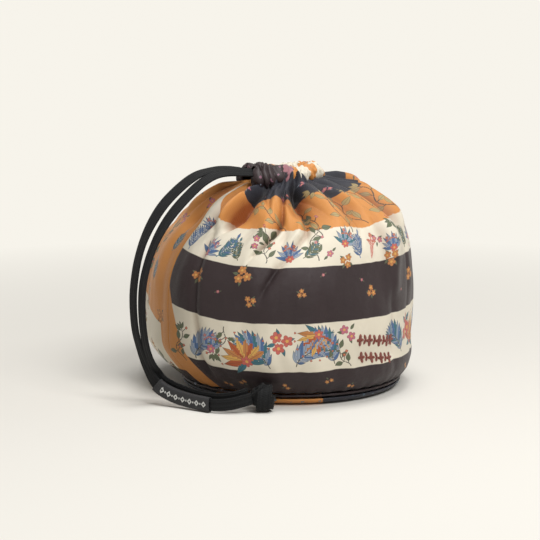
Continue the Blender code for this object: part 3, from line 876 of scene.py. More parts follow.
    def back_folds(self) -> tuple[Fold, ...]:
        """Evenly spread gathers of the back cloth."""
        folds = []
        for step in range(12):
            angle = (step + 0.5) * 15
            sign = -1.0 if step % 2 else 1.0
            variety = 1.0 + 0.28 * math.sin(2.1 * step + 0.7)
            turn = 5 * math.sin(1.3 * step)
            foot = 0.1020 + 0.005 * math.sin(1.9 * step + 1.0)
            folds.append(Fold(angle + turn, angle, foot, sign * 0.0042 * variety, 0.0062 * variety, 1.0))
        return tuple(folds)

    def lift(self, angle: np.ndarray, height: np.ndarray, radius: np.ndarray) -> np.ndarray:
        """How far the cloth stands out of the plain body, folds, creases and fine pleats together.

        Args:
            angle: angles from +X, radians.
            height: heights on the plain body.
            radius: the plain body's radius there.

        Returns:
            The lift for each angle and height.
        """
        from_seam = np.minimum(np.abs(wrap(angle)), math.pi - np.abs(wrap(angle)))
        calm = ease(-0.4 * self.seam_calm, self.seam_calm, from_seam)
        fade = 1.0 - ease(self.top - self.fold_fade, self.top, height)
        total = self._sum(self.folds + self.back_folds() + self.creases, angle, height, radius)
        lumps = soft_noise(angle * 3.1 + 11, height * 38 + 3, 5) * 0.0011
        lumps += soft_noise(angle * 6.5 + 4, height * 24 + 9, 8) * 0.0009
        lumps += soft_noise(angle * 15.0 + 2, height * 30 + 1, 21) * 0.0004
        total = (total + lumps * ease(self.foot, self.foot + 0.012, height)) * fade
        gathered = ease(0.108, 0.131, height) * (1.0 - 0.75 * ease(0.1335, self.top, height))
        run = angle * 11.0 + 0.9 * soft_noise(angle * 3.0, height * 20, 31)
        total += (np.abs(np.sin(run)) ** 0.6 - 0.66) * 0.0030 * gathered
        tucks = np.sin(angle * 46 + 2.0 * soft_noise(angle * 5, 2.0, 12))
        total += tucks * 0.00035 * (1.0 - ease(self.foot, self.foot + 0.010, height))
        facing = np.clip(np.cos(angle - self.shoulder_angle), 0, None) ** 1.5
        shoulder = ease(0.070, 0.118, height) * (1.0 - 0.8 * ease(0.1225, 0.1335, height))
        return total * calm + self.shoulder_bulge * facing * shoulder

    def hollow(self, angle: np.ndarray, height: np.ndarray) -> np.ndarray:
        """How deep the cloth lies below the nearest fold, from 0 to 1; the cloth's colour is darkened by it as painted
        shade.
        """
        radius = self.radius(height)
        own = self.lift(angle, height, radius)
        crest = own
        for reach in (-0.0070, -0.0045, -0.0020, 0.0020, 0.0045, 0.0070):
            crest = np.maximum(crest, self.lift(angle + reach / radius, height, radius))
        return np.clip((crest - own - 0.0012) / 0.0075, 0, 1)

    def drape(self, angle: np.ndarray, height: np.ndarray) -> np.ndarray:
        """Points of the draped cloth.

        Args:
            angle: angles from +X, radians.
            height: heights on the plain body.

        Returns:
            One row of x, y, z for each angle and height.
        """
        radius = self.radius(height)
        slope = self.slope(height)
        out = self.lift(angle, height, radius)
        radius = radius + out * np.cos(slope)
        gather = ease(0.108, self.top, height)
        along = 1 + (self.mouth_half_length / self.neck_radius - 1) * gather
        across = 1 + (self.mouth_half_width / self.neck_radius - 1) * gather
        lean = self.belly_lean * ease(self.foot, 0.036, height) * (1 - 0.75 * ease(0.075, 0.125, height))
        lean = lean * (1 - gather)
        from_collar = wrap(angle - self.collar_angle) / self.collar_half
        collar = ease(0.1325, self.top, height) * np.exp(-(from_collar**4))
        collar = collar * (0.75 + 0.25 * np.sin(angle * 34))
        shift = lean * math.cos(self.lean_angle) + self.mouth_centre * gather
        x = radius * along * np.cos(angle) + shift
        y = radius * across * np.sin(angle) + lean * math.sin(self.lean_angle) - self.collar_out * collar
        z = height + out * np.sin(slope) + self.collar_rise * collar
        return np.stack([x, y, z], axis=-1)


SHAPE = BodyShape()


# Mesh helpers


def settle(made: bmesh.types.BMesh, name: str) -> bpy.types.Mesh:
    """Writes a bmesh into a new mesh and frees it."""
    mesh = bpy.data.meshes.new(name)
    made.to_mesh(mesh)
    made.free()
    return mesh


def grid_mesh(name: str, columns: int, rows: int) -> bpy.types.Mesh:
    """Grid whose vertices run from 0 to 1 in x and y.

    Args:
        name: mesh name.
        columns: faces in x.
        rows: faces in y.

    Returns:
        The new mesh.
    """
    grid = bmesh.new()
    bmesh.ops.create_grid(grid, x_segments=columns, y_segments=rows, size=0.5)
    bmesh.ops.translate(grid, vec=(0.5, 0.5, 0.0), verts=grid.verts)
    return settle(grid, name)


def read(items: bpy.types.bpy_prop_collection, key: str, width: int = 3) -> np.ndarray:
    """One row of numbers for each item, such as each vertex's place or each face's normal."""
    flat = np.empty(len(items) * width)
    items.foreach_get(key, flat)
    return flat.reshape(-1, width)


def write(items: bpy.types.bpy_prop_collection, key: str, values: np.ndarray) -> None:
    """Sets one number, or one row of numbers, on each item."""
    items.foreach_set(key, np.ascontiguousarray(values, dtype=np.float32).ravel())


def corners_of(mesh: bpy.types.Mesh) -> np.ndarray:
    """The number of the vertex at each face's corner."""
    corners = np.empty(len(mesh.loops), dtype=np.int32)
    mesh.loops.foreach_get("vertex_index", corners)
    return corners


def set_map(mesh: bpy.types.Mesh, values: np.ndarray) -> None:
    """Gives the mesh its flat map from one pair of numbers a vertex."""
    write(mesh.uv_layers.new(name="cloth").data, "uv", values[corners_of(mesh)])


def place_vertices(mesh: bpy.types.Mesh, points: np.ndarray) -> None:
    """Moves the vertices to these points."""
    write(mesh.vertices, "co", points)
    mesh.update()


def mark(mesh: bpy.types.Mesh, name: str, values: np.ndarray, domain: str = "FACE") -> None:
    """Adds an attribute of numbers, of rows of three, or of colours in rows of four."""
    width = values.shape[1] if values.ndim > 1 else 1
    kind, key = {1: ("FLOAT", "value"), 3: ("FLOAT_VECTOR", "vector"), 4: ("FLOAT_COLOR", "color")}[width]
    write(mesh.attributes.new(name, kind, domain).data, key, values)


def piece(
    name: str, mesh: bpy.types.Mesh, paint: bpy.types.Material, slot: str, *nodes: str
) -> bpy.types.Object:
    """Links a finished mesh as a piece that rides on the pouch.

    Args:
        name: object name.
        mesh: its mesh, in place.
        paint: its material.
        slot: the record's material slot.
        nodes: CAD nodes that it stands for.

    Returns:
        The new object.
    """
    thing = bpy.data.objects.new(name, mesh)
    bpy.context.scene.collection.objects.link(thing)
    mesh.materials.append(paint)
    mesh.shade_smooth()
    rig.ride(thing, "root")
    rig.slot(thing, slot)
    if nodes:
        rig.replaces(thing, *nodes)
    log.info("%s: %d faces", name, len(mesh.polygons))
    return thing


def wall(thing: bpy.types.Object, thickness: float) -> None:
    """Gives a cloth its thickness, on the inside."""
    solid = thing.modifiers.new("Cloth", "SOLIDIFY")
    solid.thickness = thickness
    solid.offset = -1.0


def smooth_route(points: Sequence[Sequence[float]], count: int) -> np.ndarray:
    """Evenly spaced points of the smooth curve through a route.

    Args:
        points: the route's points.
        count: how many points are returned.

    Returns:
        One row a point.
    """
    knots = np.asarray(points, dtype=float)
    last = len(knots) - 1
    ends = np.vstack([2 * knots[0] - knots[1], knots, 2 * knots[-1] - knots[-2]])
    place = np.linspace(0, last, 1600)
    low = np.minimum(place.astype(int), last - 1)
    t = (place - low)[:, None]
    a, b, c, d = ends[low], ends[low + 1], ends[low + 2], ends[low + 3]
    fine = 0.5 * (2 * b + (c - a) * t + (2 * a - 5 * b + 4 * c - d) * t**2 + (3 * b - a - 3 * c + d) * t**3)
    lengths = lengths_along(fine)
    wanted = np.linspace(0, lengths[-1], count)
    return np.stack([np.interp(wanted, lengths, fine[:, axis]) for axis in range(3)], axis=1)


def unit(vectors: np.ndarray) -> np.ndarray:
    """Rows brought to length 1."""
    return vectors / np.linalg.norm(vectors, axis=-1, keepdims=True)


def lengths_along(points: np.ndarray) -> np.ndarray:
    """Length of a line of points up to each of them."""
    return np.concatenate([[0.0], np.cumsum(np.linalg.norm(np.diff(points, axis=0), axis=1))])


def squared(value: np.ndarray, power: float) -> np.ndarray:
    """Flattens a sine or cosine, which makes an oval boxy."""
    return np.sign(value) * np.abs(value) ** power


def upright(count: int) -> np.ndarray:
    """The upward direction, once for each point of a line."""
    return np.tile(UP, (count, 1))


def sweep(
    name: str,
    line: np.ndarray,
    wide: np.ndarray,
    section: np.ndarray,
    closed: bool = False,
    caps: bool = True,
) -> bpy.types.Mesh:
    """Sweeps a closed section along a line.

    Args:
        name: mesh name.
        line: the middle line.
        wide: direction of the section's first axis at each point of the line.
        section: rows of points, one set for each point of the line or one for all.
        closed: whether the line closes on itself.
        caps: whether open ends are filled.

    Returns:
        The mesh, mapped with the share round the section and the length along.
    """
    steps = len(line)
    around = section.shape[-2]
    if closed:
        ahead = unit(np.roll(line, -1, axis=0) - np.roll(line, 1, axis=0))
    else:
        ahead = unit(np.gradient(line, axis=0))
    first = unit(wide - (wide * ahead).sum(axis=1, keepdims=True) * ahead)
    second = np.cross(ahead, first)
    shape = np.broadcast_to(section, (steps, around, 2))
    rings = line[:, None] + shape[..., :1] * first[:, None] + shape[..., 1:] * second[:, None]
    columns, rows = around, steps if closed else steps - 1
    data = grid_mesh(name, columns, rows)
    column, row = np.rint(read(data.vertices, "co")[:, :2] * (columns, rows)).astype(int).T
    run = lengths_along(line)
    if closed:
        run = np.append(run, run[-1] + np.linalg.norm(line[0] - line[-1]))
    set_map(data, np.stack([column / columns, run[row]], axis=1))
    place_vertices(data, rings[row % steps, column % around])
    made = bmesh.new()
    made.from_mesh(data)
    bmesh.ops.remove_doubles(made, verts=made.verts, dist=1e-6)
    if caps and not closed:
        bmesh.ops.holes_fill(made, edges=[e for e in made.edges if e.is_boundary], sides=0)
    bmesh.ops.recalc_face_normals(made, faces=made.faces)
    made.to_mesh(data)
    made.free()
    return data


def flat_section(
    width: float, thickness: float, count: int, ribs: int = 0, depth: float = 0.0
) -> np.ndarray:
    """Section of a flat tape with rounded edges and ribs on both faces.

    Args:
        width: full width.
        thickness: full thickness.
        count: number of points.
        ribs: ribs across one face.
        depth: how deep the furrows between them are.

    Returns:
        Rows of two numbers, across and through the tape.
    """
    turn = np.linspace(0, math.tau, count, endpoint=False)
    across, through = squared(np.cos(turn), 0.72), squared(np.sin(turn), 0.42)
    furrow = 2 * depth / thickness * np.abs(np.cos(across * math.pi * ribs / 2)) ** 3
    return np.stack([across * width / 2, through * thickness / 2 * (1.0 - furrow)], axis=1)


# Print


def rad(degrees: float) -> float:
    """Degrees to radians."""
    return math.radians(degrees)


# No stem, leaf or blossom reaches further than this above or below its own middle.
FIGURE_REACH = 0.014


@dataclass
class Motif:
    """Where a printed figure stands on the cloth, its turn and its size."""

    theta: float
    rise: float
    turn: float = 0.0
    size: float = 1.0

    def __post_init__(self) -> None:
        """Reads the body's radius here, which keeps figures unsqueezed in the gathers."""
        self.radius = float(SHAPE.radius(SHAPE.height_at(np.array([self.rise])))[0])

    def at(self, east: float, north: float) -> tuple[float, float]:
        """Angle and cloth length of a point of the figure."""
        c, s = math.cos(self.turn) * self.size, math.sin(self.turn) * self.size
        return self.theta + (east * c - north * s) / self.radius, self.rise + east * s + north * c


@dataclass
class PrintLayout:
    """All printed figures of one cut of cloth, as stems, leaves and blossoms.

    Fields:
        seed: seed of the small variety.
        stems, leaves, blooms: rows of angle, cloth length, turn, the body's radius, two sizes and a colour.
    """

    seed: int
    stems: list = field(default_factory=list)
    leaves: list = field(default_factory=list)
    blooms: list = field(default_factory=list)

    def __post_init__(self) -> None:
        """Starts the seeded variety."""
        self.chance = np.random.default_rng(self.seed)

    def stroke(self, motif: Motif, points: Sequence[tuple[float, float]], width: float, ink: Colour) -> None:
        """Draws a line through points of the figure."""
        placed = [motif.at(*point) for point in points]
        for (t0, s0), (t1, s1) in zip(placed, placed[1:]):
            east, north = (t1 - t0) * motif.radius, s1 - s0
            turn, half = math.atan2(north, east), math.hypot(east, north) / 2
            middle = (t0 + t1) / 2, (s0 + s1) / 2
            self.stems.append((*middle, turn, motif.radius, half, width / 2, *ink))

    def leaf(
        self, motif: Motif, spot: tuple[float, float], angle: float, length: float, width: float, ink: Colour
    ) -> None:
        """Draws one pointed leaf that starts at the spot."""
        half, size = length / 2, motif.size
        place = motif.at(spot[0] + math.cos(angle) * half, spot[1] + math.sin(angle) * half)
        turn = angle + motif.turn
        self.leaves.append((*place, turn, motif.radius, half * size, width / 2 * size, *ink))

    def bloom(self, motif: Motif, spot: tuple[float, float], radius: float, petals: int, ink: Colour) -> None:
        """Draws one blossom."""
        turn = float(self.chance.uniform(0, math.tau))
        self.blooms.append((*motif.at(*spot), turn, motif.radius, radius * motif.size, float(petals), *ink))

    @staticmethod
    def curl(
        length: float, bend: float, count: int, waver: float = 0.0
    ) -> list[tuple[float, float, float]]:
        """Points and headings of a stem that starts upright at the origin and bends.

        Args:
            length: its length.
            bend: how far it turns in all, radians.
            count: number of points.
            waver: size of a side-to-side sway, radians.

        Returns:
            East, north and heading of each point.
        """
        east = north = 0.0
        points = []
        for step in range(count):
            share = step / (count - 1)
            heading = math.pi / 2 + bend * share + waver * math.sin(share * math.tau * 1.3)
            points.append((east, north, heading))
            east += math.cos(heading) * length / (count - 1)
            north += math.sin(heading) * length / (count - 1)
        return points

    def vine(
        self,
        motif: Motif,
        length: float,
        bend: float,
        ink: Colour,
        fill: Colour,
        buds: Optional[Colour] = None,
    ) -> None:
        """A wandering stem with leaves by turns on each side and small buds on tendrils."""
        line = self.curl(length, bend, 26, 0.7)
        self.stroke(motif, [p[:2] for p in line], 0.00062, ink)
        for step in range(3, 25, 4):
            east, north, heading = line[step]
            side = 1 if (step // 4) % 2 else -1
            angle = heading + side * (0.9 + 0.3 * float(self.chance.uniform(-1, 1)))
            reach = 0.0016
            tip = (east + math.cos(angle) * reach, north + math.sin(angle) * reach)
            self.stroke(motif, [(east, north), tip], 0.0005, ink)
            size = 0.0058 + 0.0020 * float(self.chance.uniform(0, 1))
            self.leaf(motif, tip, angle, size, size * 0.48, fill)
            if buds and step % 8 == 7:
                spur = heading - side * 1.1
                end = (east + math.cos(spur) * 0.005, north + math.sin(spur) * 0.005)
                self.stroke(motif, [(east, north), end], 0.00045, ink)
                self.bloom(motif, end, 0.0012, 4, buds)
        east, north, heading = line[-1]
        for turn in (-0.5, 0.15, 0.75):
            self.leaf(motif, (east, north), heading + turn, 0.0056, 0.0024, fill)

    def frond(self, motif: Motif, length: float, bend: float, ink: Colour, tip: Colour) -> None:
        """A feathery leaf: thin blades on both sides of a curved rib."""
        line = self.curl(length, bend, 12)
        self.stroke(motif, [p[:2] for p in line], 0.0006, ink)
        for step in range(1, 12):
            east, north, heading = line[step]
            reach = length * 0.42 * math.sin(math.pi * min(1.0, 0.18 + step / 12.5)) + 0.0012
            for side in (-1, 1):
                shade = ink if (step + (side > 0)) % 3 else tip
                self.leaf(motif, (east, north), heading + side * 0.72, reach, 0.0017, shade)
        east, north, heading = line[-1]
        self.leaf(motif, (east, north), heading, length * 0.25, 0.0020, tip)

    def coral(self, motif: Motif, size: float, ink: Colour) -> None:
        """A forked spray that ends in dots."""
        for turn in (-0.75, -0.35, 0.0, 0.4, 0.8):
            line = [(e, n) for e, n, _ in self.curl(size, turn, 7)]
            line = [(e + turn * n * 0.35, n) for e, n in line]
            self.stroke(motif, line, 0.0007, ink)
            self.bloom(motif, line[-1], 0.00085, 3, ink)
            middle = line[3]
            for side in (-1, 1):
                end = (middle[0] + side * size * 0.16, middle[1] + size * 0.20)
                self.stroke(motif, [middle, end], 0.0006, ink)
                self.bloom(motif, end, 0.0007, 3, ink)

    def posy(self, motif: Motif, ink: Colour, leaf: Colour, count: int = 3, size: float = 0.0026) -> None:
        """A few blossoms close together with small leaves between them."""
        start = float(self.chance.uniform(0, math.tau))
        for step in range(count + 1):
            angle = start + 0.6 + math.tau * step / (count + 1)
            spot = (math.cos(angle) * size * 0.9, math.sin(angle) * size * 0.9)
            self.leaf(motif, spot, angle, size * 1.5, size * 0.62, leaf)
        for step in range(count):
            angle = start + math.tau * step / count
            reach = size * 1.05 if count > 1 else 0.0
            self.bloom(motif, (math.cos(angle) * reach, math.sin(angle) * reach), size, 5, ink)

    def spray(self, motif: Motif, petals: Colour, blades: Colour) -> None:
        """A star of long blades with a blossom and two coral forks in front."""
        for step, turn in enumerate((-1.35, -1.0, -0.62, -0.25, 0.1, 0.45, 0.85, 1.25)):
            length = 0.0105 - 0.0020 * abs(turn)
            ink = blades if step % 2 else MIST
            self.leaf(motif, (0.0, 0.0), math.pi / 2 + turn, length, 0.0022, ink)
        for turn in (-0.45, 0.3):
            self.coral(Motif(*motif.at(0.0, 0.001), motif.turn + turn, motif.size * 0.8), 0.0085, petals)
        self.bloom(motif, (0.0, 0.0), 0.0024, 6, petals)

    def plume(self, motif: Motif, length: float, bend: float, inks: Sequence[Colour]) -> None:
        """A broad curled leaf: long overlapping blades that sweep off one curved rib."""
        line = self.curl(length, bend, 15)
        lean = math.copysign(1.0, bend)
        for step in range(14, 0, -1):
            east, north, heading = line[step]
            swell = math.sin(math.pi * min(1.0, 0.12 + step / 16))
            for side, reach in ((-lean, 0.46), (lean, 0.26)):
                angle = heading + side * (0.55 + 0.25 * (1 - step / 14))
                blade = length * reach * swell + 0.0015
                ink = inks[(step + (side > 0)) % len(inks)]
                self.leaf(motif, (east, north), angle, blade, blade * 0.30, ink)
        self.stroke(motif, [p[:2] for p in line], 0.0006, LINE)

    def palmette(self, motif: Motif, size: float, inks: Sequence[Colour]) -> None:
        """A fan of rounded blades over a small cup, edged with dots."""
        for step in range(9):
            turn = math.pi / 2 + (step - 4) * 0.34
            reach = size * (1.0 - 0.035 * abs(step - 4))
            self.leaf(motif, (0.0, 0.0), turn, reach, size * 0.27, inks[step % len(inks)])
            tip = (math.cos(turn) * (reach + 0.0012), math.sin(turn) * (reach + 0.0012))
            self.bloom(motif, tip, 0.0008, 3, CORAL)
        for turn in (-0.35, math.pi + 0.35):
            self.leaf(motif, (0.0, 0.0), turn, size * 0.7, size * 0.2, TEAL)
        self.bloom(motif, (0.0, 0.0), size * 0.20, 6, CORAL)

    @staticmethod
    def _nearest(rows: list, theta: np.ndarray, rise: np.ndarray, kind: str) -> np.ndarray:
        """The row whose figure each face lies in or is nearest to.

        Args:
            rows: the figures.
            theta: angle of each face's middle.
            rise: cloth length below each face's middle.
            kind: stem, leaf or bloom.

        Returns:
            One row of numbers for each face.
        """
        table = np.asarray(rows)
        best = np.full(theta.shape, 1e9)
        index = np.zeros(theta.shape, dtype=int)
        for number, row in enumerate(table):
            near = np.abs(rise - row[1]) < FIGURE_REACH
            east = (theta[near] - row[0]) * row[3]
            north = rise[near] - row[1]
            c, s = math.cos(row[2]), math.sin(row[2])
            along, across = east * c + north * s, north * c - east * s
            if kind == "stem":
                gap = np.hypot(np.maximum(np.abs(along) - row[4], 0), across) - row[5]
            elif kind == "leaf":
                reach = row[5] * (1 - np.minimum(np.abs(along) / row[4], 1) ** 2)
                gap = np.hypot(np.maximum(np.abs(along) - row[4], 0), np.maximum(np.abs(across) - reach, 0))
                gap = np.where(gap > 0, gap, np.abs(across) - reach)
            else:
                gap = np.hypot(along, across) - row[4]
            better = gap < best[near]
            where = np.flatnonzero(near)[better]
            best[where] = gap[better]
            index[where] = number
        return table[index]

    def print_on(self, mesh: bpy.types.Mesh, theta: np.ndarray, rise: np.ndarray) -> None:
        """Writes the nearest figures on the faces, as the material reads them.

        Args:
            mesh: the cloth.
            theta: angle of each face's middle.
            rise: cloth length below each face's middle.
        """
        for kind, rows in (("stem", self.stems), ("leaf", self.leaves), ("bloom", self.blooms)):
            found = self._nearest(rows, theta, rise, kind)
            mark(mesh, kind + "_place", found[:, 0:3])
            mark(mesh, kind + "_form", found[:, 3:6])
            mark(mesh, kind + "_ink", np.hstack([found[:, 6:9], np.ones((len(found), 1))]))


def front_print() -> PrintLayout:
    """Figures of the front cloth, band by band from the foot."""
    at = SHAPE.length_at
    layout = PrintLayout(seed=4)
    hem, low, dark = at(0.0245), at(0.0555), at(0.0900)
    cream, amber = at(0.1110), at(0.1262)
    for degrees, rise in (
        (203, 0.008),
        (212, 0.012),
        (231, 0.009),
        (251, 0.013),
        (262, 0.006),
        (303, 0.012),
        (330, 0.009),
    ):
        layout.posy(Motif(rad(degrees), rise, 0.0, 0.6), OCHRE, MOSS, 2)
    middle = (hem + low) / 2
    greys, waters, golds = (MIST, BLUE, MIST), (TEAL, BLUE, MIST), (OCHRE, GOLD, RUST_RED)
    layout.plume(Motif(rad(194), hem + 0.005, -0.3), 0.026, -1.5, greys)
    layout.spray(Motif(rad(204), middle - 0.002, 0.2, 1.25), PINK, BLUE)
    layout.vine(Motif(rad(210), low - 0.003, math.pi - 0.2, 0.9), 0.026, -0.7, LINE, MOSS, CORAL)
    layout.palmette(Motif(rad(219), middle - 0.009, 0.35), 0.0185, golds)
    layout.plume(Motif(rad(228), hem + 0.003, 0.25), 0.028, 1.6, waters)
    layout.posy(Motif(rad(233.5), middle + 0.004, 0.0, 1.5), CORAL, TEAL, 3)
    layout.plume(Motif(rad(239), hem + 0.004, -0.5), 0.030, -1.7, greys)
    layout.palmette(Motif(rad(249), low - 0.007, math.pi - 0.3), 0.0160, golds)
    layout.plume(Motif(rad(256), hem + 0.004, 0.1), 0.027, 1.3, waters)
    layout.posy(Motif(rad(262), middle + 0.008, 0.0, 1.2), PINK, MOSS, 2)
    layout.vine(Motif(rad(263), hem + 0.002, 0.3, 0.9), 0.020, 0.7, LINE, MOSS, CORAL)
    layout.plume(Motif(rad(297), hem + 0.004, 0.3), 0.027, 1.5, waters)
    layout.posy(Motif(rad(304), middle + 0.003, 0.0, 1.9), CORAL, TEAL, 3)
    layout.palmette(Motif(rad(313), middle - 0.008, -0.2), 0.0180, golds)
    layout.plume(Motif(rad(324), hem + 0.004, 0.1), 0.027, -1.5, greys)
    layout.spray(Motif(rad(334), middle, 0.3, 1.2), PINK, BLUE)
    layout.vine(Motif(rad(187), hem + 0.002, 0.1, 0.9), 0.028, -0.6, LINE, MOSS, CORAL)
    layout.vine(Motif(rad(348), hem + 0.002, 0.1, 0.9), 0.028, 0.6, LINE, MOSS, CORAL)
    for degrees, rise, size in (
        (196, 0.078, 1.0),
        (221, 0.064, 0.75),
        (217, 0.080, 1.15),
        (242, 0.069, 0.6),
        (262, 0.088, 0.95),
        (275, 0.067, 0.8),
        (289, 0.086, 1.1),
        (309, 0.071, 0.9),
        (327, 0.085, 1.0),
        (345, 0.068, 0.8),
    ):
        layout.posy(Motif(rad(degrees), rise + 0.002, 0.0, size), OCHRE, MOSS, 3)
    for degrees, rise in ((207, 0.071), (251, 0.082), (270, 0.077), (296, 0.066), (318, 0.090), (336, 0.064)):
        layout.posy(Motif(rad(degrees), rise, 0.0, 0.42), PINK, MOSS, 1)
    height = dark + 0.002
    layout.spray(Motif(rad(197), height + 0.005, -0.4, 1.15), PINK, BLUE)
    layout.frond(Motif(rad(184.5), height + 0.006, 0.15, 0.9), 0.022, -0.5, BLUE, MIST)
    layout.spray(Motif(rad(187), height + 0.026, 0.5, 0.9), CORAL, BLUE)
    layout.frond(Motif(rad(203), height + 0.003, -0.9, 0.9), 0.018, 0.7, TEAL, BLUE)
    layout.frond(Motif(rad(213), height + 0.002, 0.5, 0.8), 0.016, -0.6, MOSS, TEAL)
    layout.posy(Motif(rad(219), height + 0.014, 0.0, 0.8), PINK, MOSS, 2)
    layout.vine(Motif(rad(226), height + 0.001, -0.2, 0.9), 0.026, 0.9, LINE, MOSS, CORAL)
    layout.spray(Motif(rad(236), height + 0.004, 0.2, 1.2), CORAL, BLUE)
    layout.frond(Motif(rad(242), height + 0.004, -1.0, 0.9), 0.016, 0.7, MOSS, TEAL)
    layout.vine(Motif(rad(249), height + 0.002, 0.15, 1.0), 0.036, -0.7, LINE, MOSS, PINK)
    layout.posy(Motif(rad(254), height + 0.006, 0.0, 0.9), PINK, MOSS, 1)
    layout.spray(Motif(rad(262), height + 0.012, -0.3, 1.2), CORAL, TEAL)
    layout.frond(Motif(rad(270), height + 0.002, 0.3, 0.9), 0.019, -0.8, BLUE, MIST)
    layout.coral(Motif(rad(277), height + 0.001, -0.2, 1.3), 0.0130, CORAL)
    layout.posy(Motif(rad(283), height + 0.013, 0.0, 0.9), PINK, MOSS, 2)
    layout.spray(Motif(rad(291), height + 0.004, 0.1, 1.1), CORAL, BLUE)
    layout.vine(Motif(rad(299), height + 0.001, -0.2, 0.9), 0.026, 0.8, LINE, MOSS, CORAL)
    layout.frond(Motif(rad(308), height + 0.002, -0.3, 0.9), 0.018, 0.8, MOSS, TEAL)
    layout.spray(Motif(rad(320), height + 0.006, 0.2, 1.1), PINK, BLUE)
    layout.vine(Motif(rad(336), height + 0.001, 0.2, 0.9), 0.024, 0.6, LINE, MOSS, CORAL)
    for degrees, start, turn, length, bend in (
        (233, cream + 0.001, 0.15, 0.026, 0.9),
        (251, cream - 0.004, 0.25, 0.034, -0.8),
        (268, cream - 0.003, -0.3, 0.036, 0.7),
        (283, cream + 0.002, 0.35, 0.028, -1.0),
        (301, cream - 0.003, -0.2, 0.034, 0.8),
        (320, cream + 0.001, 0.2, 0.030, -0.8),
        (341, cream + 0.001, -0.1, 0.026, 0.8),
    ):
        layout.vine(Motif(rad(degrees), start, turn, 1.0), length, bend, LINE, STRAW)
    for degrees, rise in (
        (212, 0.010),
        (231, 0.014),
        (247, 0.006),
        (268, 0.016),
        (290, 0.009),
        (312, 0.012),
        (335, 0.008),
    ):
        layout.posy(Motif(rad(degrees), amber + rise, 0.0, 0.55), PINK, MIST, 2)
    return layout


def back_print() -> PrintLayout:
    """Figures of the back cloth, scattered in rows."""
    layout = PrintLayout(seed=9)
    figures = (
        (layout.vine, (0.022, 0.7, LINE, MOSS, CORAL)),
        (layout.posy, (OCHRE, MOSS, 3)),
        (layout.frond, (0.015, 0.6, TEAL, MIST)),
        (layout.posy, (PINK, MOSS, 2)),
        (layout.vine, (0.019, -0.8, LINE, BARK, PINK)),
    )
    for row in range(7):
        for column in range(11):
            degrees = 8 + column * 16.4 + (7 if row % 2 else 0)
            if degrees > 176:
                continue
            turn = float(layout.chance.uniform(-0.5, 0.5))
            figure, how = figures[(row * 3 + column * 2) % 5]
            figure(Motif(rad(degrees), 0.006 + row * 0.0215, turn, 0.9), *how)
    return layout


# Pieces


@dataclass
class BodyCloth:
    """One of the two body cloths, from side seam to side seam.

    Fields:
        side: front or back.
        columns: faces round it.
        rows: faces up it.
        thickness: thickness of the satin.
        gap: gap between the cloths at the seams.
    """

    side: Side
    columns: int = 270
    rows: int = 150
    thickness: float = 0.0007
    gap: float = 0.0003

    def build(self) -> bpy.types.Mesh:
        """Drapes a flat grid over the body's shape and maps it with its flat measures."""
        mesh = grid_mesh(self.side.name.lower() + "_body_cloth", self.columns, self.rows)
        shares = read(mesh.vertices, "co")
        start = math.pi if self.side is Side.FRONT else 0.0
        total = SHAPE.length_at(SHAPE.top)
        theta, rise = start + shares[:, 0] * math.pi, shares[:, 1] * total
        height = SHAPE.height_at(rise)
        set_map(mesh, np.stack([theta, rise], axis=1))
        mark(mesh, "hollow", SHAPE.hollow(theta, height), "POINT")
        middles = read(mesh.polygons, "center")
        layout = front_print() if self.side is Side.FRONT else back_print()
        layout.print_on(mesh, start + middles[:, 0] * math.pi, middles[:, 1] * total)
        points = SHAPE.drape(theta, height)
        points[:, 1] += self.side.value * self.gap / 2
        place_vertices(mesh, points)
        return mesh

    def dress(self) -> bpy.types.Object:
        """Gives the cloth its print and says what it is."""
        at = SHAPE.length_at
        if self.side is Side.FRONT:
            finish = PrintedSatin(
                "striped_printed_satin",
                (
                    Band(0.0, AUBERGINE),
                    Band(at(0.0245), CREAM),
                    Band(at(0.0555), AUBERGINE),
                    Band(at(0.0900), CREAM),
                    Band(at(0.1110), AMBER, 0.0022, 0.060, 3.42, 0.32),
                    Band(at(0.1262), NAVY, seam_lift=0.030),
                ),
                wedge=at(0.0740),
            )
            slot, node = "striped_satin", "front_panel"
        else:
            finish = PrintedSatin(
                "upright_printed_satin",
                (
                    Band(0.0, AMBER),
                    Band(0.0085, CREAM),
                    Band(0.060, AUBERGINE),
                    Band(0.105, CREAM),
                    Band(0.150, AMBER),
                    Band(0.200, NAVY),
                ),
                CutPattern.UPRIGHT,
                hem=0.0135,
                crown=at(0.1285),
            )
            slot, node = "patterned_satin", "back_panel"
        mesh = self.build()
        thing = piece(mesh.name, mesh, finish.build(), slot, node)
        wall(thing, self.thickness)
        flat = math.pi * SHAPE.belly_radius, at(SHAPE.top)
        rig.sheet(thing, flat=flat, held="gathered", rests_on=["base_cloth"])
        return thing


